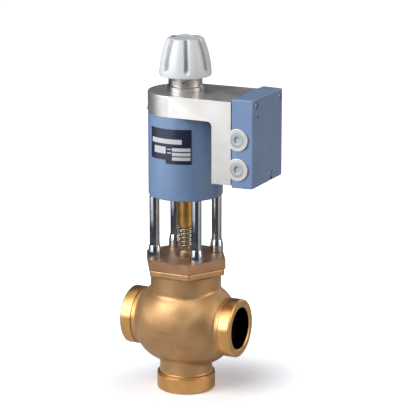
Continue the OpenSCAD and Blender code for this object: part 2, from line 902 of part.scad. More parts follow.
module locking_screw() color(dark_steel)
    rotate([0, 0, lock_angle])
        translate([cavity_r, 0, lock_z])
            along_x()
                difference() {
                    cylinder(r = lock_r - fit_gap, h = bracket_wall + lock_out);
                    translate([0, 0, bracket_wall + lock_out - socket_depth])
                        cylinder(r = lock_r / 2, h = socket_depth + cut, $fn = 6);
                }

module cover_gasket() color(rubber)
    difference() {
        translate([joint_x, -cover_end_half_w, leg_bottom_z])
            cube([gasket_h, 2 * cover_end_half_w, bracket_top_z - leg_bottom_z]);
        translate([joint_x - cut, -cavity_r + cut, leg_bottom_z + bracket_wall])
            cube([gasket_h + 2 * cut, 2 * cavity_r - 2 * cut, cavity_top - leg_bottom_z - bracket_wall]);
        at_entries([-1, 1])
            translate([0, 0, -cut])
                cylinder(r = lobe_r + stack_gap, h = bracket_wall + cut + fit_gap);
        at_cover_screws(joint_x - cut)
            cylinder(r = screw_r + stack_gap, h = gasket_h + 2 * cut);
    }

// A block from the cover's joint to a given X, whose sides draw in and whose long edges are round
module cover_block(x_end, half_w, end_half_w, z0, z1, edge_r) {
    intersection() {
        translate([0, 0, z0])
            linear_extrude(height = z1 - z0)
                union() {
                    polygon([
                        [cover_joint, -half_w],
                        [x_end - edge_r, -end_half_w],
                        [x_end - edge_r, end_half_w],
                        [cover_joint, half_w]
                    ]);
                    translate([x_end - 2 * edge_r, -end_half_w + edge_r])
                        square([2 * edge_r, 2 * (end_half_w - edge_r)]);
                    for (s = [-1, 1])
                        translate([x_end - edge_r, s * (end_half_w - edge_r)])
                            circle(r = edge_r, $fn = 48);
                }
        rotate([90, 0, 0])
            translate([0, 0, -half_w - cut])
                linear_extrude(height = 2 * (half_w + cut))
                    union() {
                        translate([cover_joint, z0])
                            square([x_end - edge_r - cover_joint, z1 - z0]);
                        translate([cover_joint, z0 + edge_r])
                            square([x_end - cover_joint, z1 - z0 - 2 * edge_r]);
                        for (z = [z0 + edge_r, z1 - edge_r])
                            translate([x_end - edge_r, z])
                                circle(r = edge_r, $fn = 48);
                    }
    }
}

module controller_cover() color(blue)
    difference() {
        union() {
            difference() {
                cover_block(cover_x, cover_half_w, cover_end_half_w, cover_bottom_z, cover_top_z,
                    cover_round);
                translate([-cut, 0, 0])
                    cover_block(cover_inner_x + cut, cover_half_w - cover_wall,
                        cover_end_half_w - cover_wall, cover_bottom_z + cover_wall,
                        cover_top_z - cover_wall, cover_round / 2);
            }
            at_cover_screws(cover_joint)
                cylinder(r = cover_post_r, h = cover_inner_x - cover_joint + cut);
        }
        at_entries([-1, 1])
            translate([0, 0, -cut])
                cylinder(r = lobe_r + 2 * stack_gap, h = bracket_wall + cut + 2 * stack_gap);
        at_cover_screws(cover_joint - cut)
            cylinder(r = screw_r + fit_gap, h = cover_x - cover_joint + 2 * cut);
        at_cover_screws(cover_x - screw_head_h - stack_gap)
            cylinder(r = screw_head_r + stack_gap, h = screw_head_h + cut);
        translate([cover_x - notch_depth, cover_screws_yz[2][0] - screw_head_r, cover_bottom_z - cut])
            cube([notch_depth + cut, 2 * screw_head_r, cover_screws_yz[2][1] - cover_bottom_z + cut]);
        translate([cover_inner_x - cut, lamp_y, lamp_z])
            along_x()
                cylinder(r = lamp_r + fit_gap, h = cover_wall + 2 * cut);
    }

module cover_screws() color(steel)
    at_cover_screws(0)
        socket_screw(cover_x - stack_gap, cover_x - leg_wall_x - 2 * screw_head_h);

module cable_plugs(side) color(grey_plastic)
    at_entries([side])
        difference() {
            translate([0, 0, 2 * stack_gap])
                cylinder(r = plug_body_r, h = bracket_wall - 2 * stack_gap);
            translate([0, 0, -cut])
                cylinder(r = plug_body_r / 2, h = socket_depth + cut, $fn = 6);
        }

module front_cable_plugs() cable_plugs(-1);
module rear_cable_plugs() cable_plugs(1);

module circuit_board() color(board_green)
    difference() {
        translate([board_x, -board_half_w, board_z])
            cube([board_t, 2 * board_half_w, board_top - board_z]);
        at_spacers(board_x - cut)
            cylinder(r = spacer_r / 2, h = board_t + 2 * cut);
    }

// Puts the children on each of the board's spacers, standing along X
module at_spacers(x) {
    for (s = [-1, 1], z = [board_z + spacer_inset, board_top - spacer_inset])
        translate([x, s * (board_half_w - spacer_inset), z])
            along_x()
                children();
}

module board_spacers() color(brass)
    at_spacers(leg_wall_x) {
        cylinder(r = spacer_r, h = board_x - leg_wall_x);
        cylinder(r = spacer_r / 2 - fit_gap, h = board_x - leg_wall_x + board_t + spacer_r / 2);
    }

terminal_half_w = 0.8 * (board_half_w - spacer_inset - spacer_r);
terminal_h = 3 * bracket_wall;
terminal_poles = 6;
terminal_pitch = 2 * terminal_half_w / terminal_poles;

module terminal_block() color(white_plastic)
    difference() {
        translate([board_x + board_t, -terminal_half_w, board_z + fit_gap])
            cube([2.5 * bracket_wall, 2 * terminal_half_w, terminal_h]);
        for (k = [0:terminal_poles - 1])
            translate([board_x + board_t + bracket_wall, -terminal_half_w + (k + 0.5) * terminal_pitch,
                board_z + terminal_h / 2])
                along_x()
                    cylinder(r = terminal_pitch / 4, h = 2 * bracket_wall);
    }

module transformer() color(rubber)
    translate([board_x + board_t, -terminal_half_w / 2, board_z + terminal_h + 2 * bracket_wall])
        cube([3 * bracket_wall, terminal_half_w, 5 * bracket_wall]);

module status_lamp() color(board_green)
    translate([cover_inner_x - cover_wall, lamp_y, lamp_z])
        along_x()
            cylinder(r = lamp_r, h = 2 * cover_wall);

// A thin curved plate on the housing, with a step in its lower left corner
module rating_plate() color(navy)
    difference() {
        rotate([0, 0, plate_start])
            rotate_extrude(angle = plate_sweep)
                translate([housing_r + fit_gap, plate_z])
                    square([plate_t, plate_h]);
        rotate([0, 0, plate_start - plate_step_angle])
            rotate_extrude(angle = 2 * plate_step_angle)
                translate([housing_r - cut, plate_z - cut])
                    square([plate_t + 3 * cut, plate_step_h + cut]);
    }

module knob_collar() color(steel)
    difference() {
        rotate_extrude()
            polygon([
                [0, bracket_top_z],
                [collar_foot_r, bracket_top_z],
                [collar_foot_r, bracket_top_z + collar_foot_h],
                [collar_waist_r, bracket_top_z + 1.25 * collar_foot_h],
                [collar_waist_r, collar_top_z - 1.5 * collar_rim_h],
                [collar_rim_r, collar_top_z - collar_rim_h],
                [collar_rim_r, collar_top_z],
                [0, collar_top_z]
            ]);
        disc(collar_bore_r, bracket_top_z - cut, web_bottom_z);
        disc(shaft_bore_r, bracket_top_z - cut, collar_top_z + cut);
        disc(collar_bore_r, web_top_z, collar_top_z + cut);
    }

// The stem spring: one wire from the cup's floor up to the coupling's pocket, straight at both ends
rings_per_turn = 8;
wire_sides = 6;
helix_steps = spring_turns * rings_per_turn;
end_bend = 0.8 * wire_d;
end_slope = 90;
bend_slope = 60;
helix_z = spring_z + wire_d + end_bend;
helix_h = spring_top - spring_z - 2 * (wire_d + end_bend);
helix_lead = atan2(helix_h, helix_steps / rings_per_turn * 360 * PI / 180 * spring_path_r);
function on_spring(angle, z) = [spring_path_r * cos(angle), spring_path_r * sin(angle), z];
function helix_angle(i) = spring_start + (i + 0.5) * 360 / rings_per_turn;
last_angle = helix_angle(helix_steps) + 0.5 * 360 / rings_per_turn;
spring_path = concat(
    [[spring_start, on_spring(spring_start, spring_z), end_slope],
        [spring_start, on_spring(spring_start, spring_z + wire_d), bend_slope]],
    [for (i = [0:helix_steps]) [helix_angle(i),
        on_spring(helix_angle(i), helix_z + helix_h * i / helix_steps), helix_lead]],
    [[last_angle, on_spring(last_angle, spring_top - wire_d), bend_slope],
        [last_angle, on_spring(last_angle, spring_top), end_slope]]
);
// The points round one ring: its angle about the axis, its centre and its slope
function wire_ring(p) = let (
        out = [cos(p[0]), sin(p[0]), 0],
        ahead = [-sin(p[0]) * cos(p[2]), cos(p[0]) * cos(p[2]), sin(p[2])],
        side = cross(ahead, out)
    ) [for (k = [0:wire_sides - 1])
        p[1] + wire_d / 2 * (cos(360 * k / wire_sides) * out + sin(360 * k / wire_sides) * side)];
wire_points = [for (p = spring_path) each wire_ring(p)];
ring_count = len(spring_path);
last_ring = (ring_count - 1) * wire_sides;
wire_faces = concat(
    [for (k = [1:wire_sides - 2]) [0, k, k + 1]],
    [for (i = [0:ring_count - 2], k = [0:wire_sides - 1])
        let (a = i * wire_sides + k, b = i * wire_sides + (k + 1) % wire_sides)
        each [[a, a + wire_sides, b + wire_sides], [a, b + wire_sides, b]]],
    [for (k = [1:wire_sides - 2]) [last_ring, last_ring + k + 1, last_ring + k]]
);
spring_gap = min([for (i = [0:ring_count - 1], j = [i + 5:1:ring_count - 1])
    norm(spring_path[i][1] - spring_path[j][1])]) - wire_d;
echo(least_gap_in_stem_spring = spring_gap);

module stem_spring() color(steel)
    polyhedron(points = wire_points, faces = wire_faces);

module valve_stem() color(steel) {
    disc(stem_r, web_z - plug_nut_h - stem_tail, coupling_z + spring_pocket + armature_socket);
    disc(stem_collar_r, web_z + web_h, web_z + web_h + stem_collar_h);
}

module valve_plug() color(steel)
    difference() {
        union() {
            disc(plug_r, plug_bottom, plug_top);
            disc(skirt_r, plug_bottom - lower_skirt_len, plug_top + upper_skirt_len);
        }
        disc(skirt_r - skirt_wall, plug_bottom - lower_skirt_len - cut, web_z);
        disc(skirt_r - skirt_wall, web_z + web_h, plug_top + upper_skirt_len + cut);
        disc(stem_r + fit_gap, web_z - cut, web_z + web_h + cut);
        for (a = [45, 135])
            rotate([0, 0, a]) {
                translate([-plug_r, -window_w / 2, plug_bottom - lower_skirt_len + skirt_wall])
                    cube([2 * plug_r, window_w, lower_skirt_len - 2 * skirt_wall]);
                translate([-plug_r, -window_w / 2, plug_top + skirt_wall / 2])
                    cube([2 * plug_r, window_w, upper_skirt_len - 2 * skirt_wall]);
            }
        for (z = [plug_bottom - cut, plug_top - seal_ring_h])
            ring(plug_r - seal_ring_inset, plug_r - seal_ring_inset - seal_ring_w, z, z + seal_ring_h + cut);
    }

module plug_seals() color(rubber)
    for (z = [plug_bottom, plug_top - seal_ring_h])
        ring(plug_r - seal_ring_inset - fit_gap, plug_r - seal_ring_inset - seal_ring_w + fit_gap,
            z, z + seal_ring_h);

module plug_nut() color(steel)
    difference() {
        translate([0, 0, web_z - plug_nut_h])
            cylinder(r = nut_flat_r, h = plug_nut_h, $fn = 6);
        disc(stem_r + fit_gap, web_z - plug_nut_h - cut, web_z + cut);
    }

module stem_coupling() color(brass)
    difference() {
        union() {
            rotate_extrude()
                polygon([
                    [0, coupling_z],
                    [coupling_r - coupling_round / 4, coupling_z],
                    [coupling_r, coupling_z + coupling_round],
                    [coupling_r, armature_z],
                    [0, armature_z]
                ]);
            disc(armature_stud_r, armature_z - cut, armature_z + armature_socket - cut);
        }
        disc(spring_r + stack_gap, coupling_z - cut, spring_top);
        disc(stem_r + fit_gap, coupling_z, coupling_z + spring_pocket + armature_socket + stack_gap);
    }

module armature() color(dark_steel)
    difference() {
        disc(armature_r, armature_z, armature_z + armature_len);
        disc(armature_stud_r + fit_gap, armature_z - cut, armature_z + armature_socket);
    }

module press_sleeve() color(steel)
    difference() {
        union() {
            disc(shaft_r, shaft_bottom_z, sleeve_flange_z + cut);
            disc(sleeve_flange_r, sleeve_flange_z, sleeve_flange_z + sleeve_flange_h);
            disc(knob_pin_r, sleeve_flange_z, pin_top_z);
        }
        disc(spindle_bore_r, shaft_bottom_z - cut, spindle_top_z + spindle_room);
        disc(screw_r + fit_gap, pin_top_z - pin_len / 2, pin_top_z + cut);
    }

// The knob's return spring, hidden in the collar, as a plain tube of its outer shape
module press_spring() color(dark_steel)
    ring(sleeve_flange_r - stack_gap, sleeve_flange_r - stack_gap - spring_tube_w, web_top_z,
        sleeve_flange_z);

module knob_screw() color(steel)
    translate([0, 0, pin_top_z + screw_cap_h + stack_gap])
        difference() {
            union() {
                disc(screw_cap_r, -screw_cap_h, 0);
                disc(screw_r, -screw_cap_h - knob_pin_r, -screw_cap_h / 2);
            }
            translate([0, 0, -socket_depth])
                cylinder(r = socket_r, h = socket_depth + cut, $fn = 6);
        }

// The knob's radius at a height, a bell that draws in towards its top
function bell_r(z) = knob_top_r + (knob_r - knob_top_r)
    * (1 - pow(max(0, (z - knob_band_z) / (knob_top_z - knob_band_z)), knob_power));

module hand_knob() color(grey_plastic)
    difference() {
        rotate_extrude()
            polygon(concat(
                [[0, knob_z], [knob_r - knob_round, knob_z],
                    [knob_r - knob_round / 4, knob_z + knob_round / 2],
                    [knob_r, knob_z + 1.25 * knob_round]],
                [for (i = [0:knob_steps - 1])
                    let (z = knob_band_z + (knob_top_z - knob_wall / 6 - knob_band_z) * i / (knob_steps - 1))
                    [bell_r(z), z]],
                [[knob_top_r - knob_wall / 3, knob_top_z], [0, knob_top_z]]
            ));
        disc(knob_skirt_r, knob_z - cut, knob_web_z - knob_wall - stack_gap);
        disc(sleeve_flange_r + 2 * stack_gap, knob_z, knob_web_z);
        disc(knob_pin_r + run_gap, knob_z, cap_pocket_z);
        disc(cap_r - cap_h, cap_pocket_z, knob_top_z);
        disc(cap_r, knob_top_z - cap_h, knob_top_z + cut);
        for (k = [0:flute_count - 1])
            rotate([0, 0, flute_start + k * 360 / flute_count])
                flute();
        translate([-pointer_share * knob_top_r, 0, 0])
            disc(pointer_r + fit_gap, knob_top_z - cap_h, knob_top_z + cut);
    }

flute_foot = [bell_r(knob_band_z + flute_r) + flute_r / 2, knob_band_z + flute_r];
flute_head = [bell_r(knob_top_z - flute_drop) + flute_r / 2, knob_top_z - flute_drop];
flute_tilt = atan2(flute_foot[0] - flute_head[0], flute_head[1] - flute_foot[1]);

// One of the knob's grooves, a round-ended rod that leans in with the bell
module flute() {
    translate([flute_foot[0], 0, flute_foot[1]])
        rotate([0, -flute_tilt, 0])
            cylinder(r = flute_r, h = norm(flute_head - flute_foot), $fn = 32);
    for (p = [flute_foot, flute_head])
        translate([p[0], 0, p[1]])
            sphere(r = flute_r, $fn = 32);
}

module knob_cap() color(white_plastic)
    disc(cap_r - fit_gap, knob_top_z - cap_h + fit_gap, knob_top_z);

module knob_pointer() color(rubber)
    translate([-pointer_share * knob_top_r, 0, 0])
        disc(pointer_r, knob_top_z - cap_h + fit_gap, knob_top_z);

module manual_spindle() color(steel)
    disc(spindle_r, spindle_z, spindle_top_z);

valve_body();
lower_seat_ring();
upper_seat_ring();
bonnet_gasket();
bonnet();
stem_guide();
stem_seals();
seal_spacer();
gland_nut();
spring_seat();
column_front_left();
column_front_right();
column_rear_left();
column_rear_right();
column_nuts();
magnet_housing();
pole_piece();
guide_tube();
coil_former();
magnet_coil();
yoke_plate();
upper_stop();
sensor_coil();
coil_lead();
bracket();
bracket_screws();
locking_screw();
cover_gasket();
controller_cover();
cover_screws();
front_cable_plugs();
rear_cable_plugs();
circuit_board();
board_spacers();
terminal_block();
transformer();
status_lamp();
rating_plate();
knob_collar();
stem_spring();
valve_stem();
valve_plug();
plug_seals();
plug_nut();
stem_coupling();
armature();
press_sleeve();
press_spring();
knob_screw();
hand_knob();
knob_cap();
knob_pointer();
manual_spindle();
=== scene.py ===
# A three-way mixing valve: cast bronze body, magnetic actuator, controller box and hand knob.
# Lengths are in millimetres until a mesh is made, and the valve's axis is Z.
import math

import bmesh
import bpy
import numpy as np
from mathutils import Matrix, Vector


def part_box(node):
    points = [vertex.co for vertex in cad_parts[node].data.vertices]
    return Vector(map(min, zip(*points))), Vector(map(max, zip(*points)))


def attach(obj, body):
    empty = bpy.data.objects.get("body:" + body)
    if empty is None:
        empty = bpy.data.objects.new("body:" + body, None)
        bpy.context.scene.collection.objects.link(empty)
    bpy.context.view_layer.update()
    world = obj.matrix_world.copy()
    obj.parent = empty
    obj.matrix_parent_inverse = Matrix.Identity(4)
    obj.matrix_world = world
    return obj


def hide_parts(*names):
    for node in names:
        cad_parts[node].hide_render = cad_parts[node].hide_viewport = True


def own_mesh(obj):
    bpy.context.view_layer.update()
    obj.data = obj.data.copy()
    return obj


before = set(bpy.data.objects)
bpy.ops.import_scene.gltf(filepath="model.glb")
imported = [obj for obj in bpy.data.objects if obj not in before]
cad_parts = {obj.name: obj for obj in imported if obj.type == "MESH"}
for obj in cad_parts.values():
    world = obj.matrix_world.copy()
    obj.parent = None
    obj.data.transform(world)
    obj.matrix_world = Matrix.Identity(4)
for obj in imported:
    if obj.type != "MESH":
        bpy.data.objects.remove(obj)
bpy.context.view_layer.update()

MM = 0.001


def polar(r, degrees):
    """X and Y of a point at a distance and an angle."""
    a = math.radians(degrees)
    return r * math.cos(a), r * math.sin(a)


def new_object(name, data):
    made = bpy.data.objects.new(name, data)
    bpy.context.scene.collection.objects.link(made)
    return made


# Sizes taken from the frame

def span(node):
    """Lowest and highest corner of a CAD node, in millimetres."""
    low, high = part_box(node)
    return [c / MM for c in low], [c / MM for c in high]


def heights(node):
    """Where a CAD node begins and ends along Z."""
    return [corner[2] for corner in span(node)]


def radius(node):
    """Half a round node's width across Y."""
    low, high = span(node)
    return (high[1] - low[1]) / 2


body_low, body_high = span("valve_body")
half_face, _, body_top = body_high
port_z = 70
thread_r = 29.8
mouth_r = 21.3
waterway_r = 16
side_ring = 12
bottom_ring = 15.5
groove_w = 0.8
groove_depth = 1.2
collar_r = thread_r - 0.5
neck_r = 36
lower_neck_r = 26.8

hex_corner, _, bonnet_top = span("bonnet")[1]
hex_step = 1.2
gland_deep = 8
housing_r = radius("magnet_housing")
housing_z, bracket_floor = heights("magnet_housing")
bracket_half = span("bracket")[1][1]
leg_z, bracket_top = heights("bracket")
cover_low, cover_high = span("controller_cover")
cover_joint = cover_low[0]
joint_x = cover_joint - 0.8
knob_r = radius("hand_knob")
knob_z, knob_top = heights("hand_knob")
band_z = knob_z + 4
knob_top_r = 18.4
bell_power = 1.9
flute_count = 7
flute_start = -9.8
flute_r = 3
column_from, column_to = [corner[0] for corner in span("column_front_right")]
column_r = (column_to - column_from) / 2
column_offset = (column_to + column_from) / 2


# Camera at the photograph's viewpoint

camera_angle = -64.4


def add_camera():
    data = bpy.data.cameras.new("camera")
    data.sensor_width = 36
    data.lens = 186.76
    data.clip_end = 20
    camera = new_object("camera", data)
    camera.location = (0.93031, -1.89334, 0.72896)
    camera.rotation_euler = (math.radians(75.66), 0, math.radians(25.57))
    bpy.context.scene.camera = camera


add_camera()


# Materials

# Colours of painted shade: deep in the port bores, and in the knob's grooves
BORE_PAINTED_SHADE = "#170e09"
GROOVE_PAINTED_SHADE = "#6d7278"


def linear(hexa):
    """An sRGB hex colour as linear numbers."""
    parts = [int(hexa[i:i + 2], 16) / 255 for i in (1, 3, 5)]
    return [c / 12.92 if c <= 0.04045 else ((c + 0.055) / 1.055) ** 2.4 for c in parts] + [1]


def add_node(tree, kind, settings=None, inputs=None, **named):
    """Adds a node with its settings. An input gets a value, an output, or a node whose first output is meant."""
    made = tree.nodes.new(kind)
    for key, value in (settings or {}).items():
        setattr(made, key, value)
    named = {key.replace("_", " "): value for key, value in named.items()}
    for key, value in {**(inputs or {}), **named}.items():
        if isinstance(value, bpy.types.Node):
            value = value.outputs[0]
        if isinstance(value, bpy.types.NodeSocket):
            tree.links.new(value, made.inputs[key])
        else:
            made.inputs[key].default_value = value
    return made


def new_material(name):
    """An empty node material, its tree and the Object coordinates."""
    material = bpy.data.materials.new(name)
    material.use_nodes = True
    tree = material.node_tree
    tree.nodes.clear()
    return material, tree, add_node(tree, "ShaderNodeTexCoord").outputs["Object"]


def bores(limit_mm):
    """A mask for painted shade on the insides of the three ports' bores and of the chambers between them."""
    def mask(tree, place):
        inside = []
        for shift, scale in (((0, 0, -port_z * MM), (0, 1, 1)), ((0, 0, 0), (1, 1, 0))):
            moved = add_node(tree, "ShaderNodeMapping", Vector=place, Location=shift, Scale=scale)
            away = add_node(tree, "ShaderNodeVectorMath", {"operation": "LENGTH"}, Vector=moved).outputs["Value"]
            inside.append(add_node(tree, "ShaderNodeMath", {"operation": "LESS_THAN"}, {0: away, 1: limit_mm * MM}))
        return add_node(tree, "ShaderNodeMath", {"operation": "MAXIMUM"}, {0: inside[0], 1: inside[1]})
    return mask


def grooves(tree, place):
    """A mask for painted shade that grows towards the middle of each of the knob's grooves, where less light reaches.
    """
    axes = add_node(tree, "ShaderNodeSeparateXYZ", Vector=place).outputs
    angle = add_node(tree, "ShaderNodeMath", {"operation": "ARCTAN2"}, {0: axes["Y"], 1: axes["X"]})
    phase = add_node(tree, "ShaderNodeMath", {"operation": "MULTIPLY_ADD"},
                     {0: angle, 1: flute_count, 2: -math.radians(flute_start * flute_count)})
    wave = add_node(tree, "ShaderNodeMath", {"operation": "COSINE"}, {0: phase})
    mask = 1
    for source, start, end, low, high in ((wave, 0.66, 0.97, 0, 0.8),
                                          (axes["Z"], (band_z + 1) * MM, (band_z + 5) * MM, 0, 1),
                                          (axes["Z"], (knob_top - 1) * MM, knob_top * MM, 1, 0)):
        share = add_node(tree, "ShaderNodeMapRange", {"interpolation_type": "SMOOTHSTEP"}, Value=source,
                         From_Min=start, From_Max=end, To_Min=low, To_Max=high)
        mask = add_node(tree, "ShaderNodeMath", {"operation": "MULTIPLY"}, {0: share, 1: mask})
    return mask


def surface(name, tones, tint, grain, rough, depth_mm, stops=(0.3, 0.7), stretch=(1, 1, 1), strength=0.5,
            mask=None, shade=None, **shader):
    """A finish whose colour shifts slowly, and whose fine grain sets its sheen and its relief.

    Tint and grain each hold a noise's size in millimetres, its detail and its roughness. Where the mask is 1 the
    colour turns into the shade colour, which is painted shade.
    """
    material, tree, place = new_material(name)
    stretched = add_node(tree, "ShaderNodeMapping", Vector=place, Scale=stretch)
    tint, grain = [add_node(tree, "ShaderNodeTexNoise", Vector=vector, Scale=1 / (size_mm * MM), Detail=detail,
                            Roughness=fine)
                   for vector, (size_mm, detail, fine) in ((place, tint), (stretched, grain))]
    colour = add_node(tree, "ShaderNodeValToRGB", Fac=tint)
    elements = colour.color_ramp.elements
    while len(elements) < len(tones):
        elements.new(0.5)
    for element, position, tone in zip(elements, stops, tones):
        element.position = position
        element.color = linear(tone)
    if mask:
        colour = add_node(tree, "ShaderNodeMix", {"data_type": "RGBA"},
                          {0: mask(tree, place), 6: colour, 7: linear(shade)}).outputs[2]
    sheen = add_node(tree, "ShaderNodeMapRange", Value=grain, From_Min=0.3, From_Max=0.7, To_Min=rough[0],
                     To_Max=rough[1])
    relief = add_node(tree, "ShaderNodeBump", Height=grain, Strength=strength, Distance=depth_mm * MM)
    look = add_node(tree, "ShaderNodeBsdfPrincipled", Base_Color=colour, Roughness=sheen, Normal=relief, **shader)
    add_node(tree, "ShaderNodeOutputMaterial", Surface=look)
    return material


def cast_bronze(name, *tones, **more):
    """Sand-cast gunmetal, blasted: a satin grain with soft mottling and a pale sheen."""
    return surface(name, tones, (26, 3, 0.5), (0.9, 4, 0.65), (0.38, 0.5), 0.08, (0.3, 0.5, 0.72), Metallic=0.72,
                   Coat_Weight=0.3, Coat_Roughness=0.4, **more)


def turned(name, dark, pale, rough, ring_mm=0.5, depth_mm=0.02, across="XYZ", **more):
    """Turned metal: fine rings left by the tool, drawn coarse enough to show."""
    stretch = [1 if axis in across else 0.04 for axis in "XYZ"]
    return surface(name, (dark, pale), (14, 2, 0.5), (ring_mm, 2, 0.5), rough, depth_mm, stretch=stretch,
                   Metallic=1, **more)


def smooth_coat(name, dark, pale, rough, peel_mm=1, depth_mm=0.02, coat=0.1, **more):
    """Stoved enamel or moulded plastic: an even colour over a faint orange peel."""
    return surface(name, (dark, pale), (40, 2, 0.5), (peel_mm, 2, 0.5), (rough - 0.04, rough + 0.05), depth_mm,
                   Coat_Weight=coat, Coat_Roughness=0.18, **more)


# Brown gold gunmetal with painted shade in its bores, and a darker, pinker copy of it for the bonnet
BRONZE = cast_bronze("sand_cast_bronze", "#a98251", "#b78f60", "#c59e70", mask=bores(mouth_r + 3.2), shade=BORE_PAINTED_SHADE)
BONNET_BRONZE = cast_bronze("pinkish_cast_bronze", "#8f694d", "#a37b5a", "#b58c6a")
# The same gunmetal bright from the lathe, with yellow glints and painted shade in its mouths
RING_BRONZE = turned("turned_bronze", "#cb9b5f", "#d9a96e", (0.27, 0.38), mask=bores(mouth_r + 0.3), shade=BORE_PAINTED_SHADE)
# Yellow brass, and the same gone brown and dull
BRASS = turned("turned_brass", "#b98c4c", "#c99e5e", (0.3, 0.4), 0.5, 0.006, "Z")
DULL_BRASS = turned("dull_brass", "#8f7460", "#a38a74", (0.36, 0.5), 0.5, 0.006, "Z")
# Stainless steel, warm grey with level rings, and zinc plate, cooler and nearly a mirror
STEEL = turned("turned_steel", "#a4a29f", "#b4b2af", (0.24, 0.34), 0.5, 0.006, "Z")
ZINC = turned("bright_zinc_plate", "#a2a7ab", "#b2b6ba", (0.1, 0.16), 6, 0.004, "Z")
# Oiled spring wire, bare iron and lacquered winding wire
WIRE = turned("drawn_spring_wire", "#a08a6c", "#b59d7c", (0.34, 0.46), 0.4, 0.005)
IRON = turned("soft_iron", "#5a5d61", "#6c6f74", (0.35, 0.5))
COPPER = turned("enamelled_copper", "#a25c30", "#b97446", (0.25, 0.4), 0.6, 0.05, "Z")
# Die-cast aluminium, ground and brushed round: pale, with fine level streaks
CASTING = surface("brushed_casting", ("#c5c3c1", "#d3d1cf"), (30, 2, 0.5), (0.7, 3, 0.6), (0.3, 0.42), 0.03,
                  stretch=(0.03, 0.03, 1), strength=0.45, Metallic=0.85)
# Stoved blue enamel with a soft gloss, and the cover's flatter blue plastic
BLUE = smooth_coat("blue_enamel", "#7790b9", "#829bc1", 0.34, 2.2, 0.03, 0.25)
BLUE_COVER = smooth_coat("blue_moulding", "#7d98c1", "#88a2c8", 0.38, 1.2, coat=0.12)
# Moulded plastics: grey plugs, the paler knob with painted shade in its grooves, matt white and glossy black
GREY = smooth_coat("grey_moulding", "#b3b8be", "#bec3c8", 0.36)
KNOB_GREY = smooth_coat("pale_grey_moulding", "#e0e3e7", "#e8ebee", 0.34, coat=0.15, mask=grooves, shade=GROOVE_PAINTED_SHADE)
WHITE = smooth_coat("white_moulding", "#dcdcd8", "#e6e6e2", 0.45, coat=0)
POINTER = smooth_coat("black_moulding", "#232429", "#2b2c31", 0.4)
# Dark blue printed foil with matt pale fields
NAVY = smooth_coat("printed_foil", "#1c2438", "#232c42", 0.3, depth_mm=0.01, coat=0.2)
FIELD = smooth_coat("blank_field", "#cfd2d8", "#d8dade", 0.45, depth_mm=0.01, coat=0)
# Green lacquer on the circuit board, and the lamp's dark green lens
BOARD = smooth_coat("solder_mask", "#28603c", "#2f6b46", 0.35, 1.5, coat=0.2)
LAMP = smooth_coat("lamp_lens", "#1b3f3a", "#234a44", 0.15, 3, 0.01, 0.6)
# Moulded rubber: near black, with a dull fine grain
RUBBER = surface("rubber", ("#1c1d1f", "#2c2d30"), (0.6, 3, 0.6), (0.6, 3, 0.6), (0.6, 0.75), 0.05, strength=0.4)


# Making meshes

def settle(mesh, crease=None, closed=False):
    """Merges a closed mesh's doubles and turns its faces outwards, and shades it smooth between its creases."""
    work = bmesh.new()
    work.from_mesh(mesh)
    if closed:
        bmesh.ops.remove_doubles(work, verts=work.verts, dist=1e-7)
        bmesh.ops.recalc_face_normals(work, faces=work.faces)
        work.normal_update()
    if crease:
        for face in work.faces:
            face.smooth = True
        for edge in work.edges:
            edge.smooth = len(edge.link_faces) != 2 or edge.calc_face_angle() < math.radians(crease)
    work.to_mesh(mesh)
    work.free()


def from_points(name, points, edges=(), faces=()):
    """A new object from points in millimetres."""
    mesh = bpy.data.meshes.new(name)
    mesh.from_pydata([[c * MM for c in p] for p in points], edges, faces)
    return new_object(name, mesh)


def piece(name, points, faces, material, crease=35, closed=True):
    """A new object with a material, from points in millimetres."""
    made = from_points(name, points, faces=faces)
    if crease or closed:
        settle(made.data, crease, closed)
    made.data.materials.append(material)
    return made


def install(made, body, node=None):
    """Puts a finished piece on its body and hides the CAD node that it stands in for."""
    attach(made, body)
    if node:
        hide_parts(*([node] if isinstance(node, str) else node))
    return made


def rounded(outline, sizes, steps=4):
    """A closed outline with each corner turned into an arc of its own radius."""
    result = []
    for i, (p, r) in enumerate(zip(outline, sizes)):
        p = Vector(p)
        to_a, to_b = Vector(outline[i - 1]) - p, Vector(outline[(i + 1) % len(outline)]) - p
        straight = min(to_a.length, to_b.length) < 1e-6 or to_a.angle(to_b) > math.radians(176)
        if r <= 0 or straight:
            result.append(tuple(p))
            continue
        reach = min(r / math.tan(to_a.angle(to_b) / 2), 0.48 * to_a.length, 0.48 * to_b.length)
        start, end = p + to_a.normalized() * reach, p + to_b.normalized() * reach
        for k in range(steps + 1):
            t = k / steps
            result.append(tuple((1 - t) ** 2 * start + 2 * t * (1 - t) * p + t ** 2 * end))
    return result


def revolve(outline, steps=128, place=Matrix.Identity(4)):
    """Points and faces of a closed outline of (radius, height) turned about Z, then placed."""
    points, rows, faces = [], [], []
    for r, z in outline:
        if r < 1e-6:
            rows.append([len(points)] * steps)
            points.append(place @ Vector((0, 0, z)))
        else:
            rows.append(list(range(len(points), len(points) + steps)))
            points += [place @ Vector((*polar(r, 360 * k / steps), z)) for k in range(steps)]
    count = len(rows)
    for i in range(count):
        a, b = rows[i], rows[(i + 1) % count]
        if a[0] == a[1] and b[0] == b[1]:
            continue
        for k in range(steps):
            n = (k + 1) % steps
            faces.append(list(dict.fromkeys([a[k], a[n], b[n], b[k]])))
    return points, faces


def turned_piece(name, outline, sizes, material, arc=4, steps=128, place=Matrix.Identity(4)):
    """A round piece, from an outline of (radius, height) and the rounding of each of its corners."""
    return piece(name, *revolve(rounded(outline, sizes, arc), steps, place), material)


def along(direction, origin):
    """A placement that turns Z to the direction and moves it to the origin."""
    turn = Vector(direction).to_track_quat("Z", "Y").to_matrix().to_4x4()
    return Matrix.Translation(Vector(origin)) @ turn


def placed(shape, place):
    points, faces = shape
    return [tuple(place @ Vector(p)) for p in points], faces


def joined(*shapes):
    points, faces = [], []
    for p, f in shapes:
        faces += [[i + len(points) for i in face] for face in f]
        points += p
    return points, faces


# Skins of blended solids, each given as a distance field that is negative inside

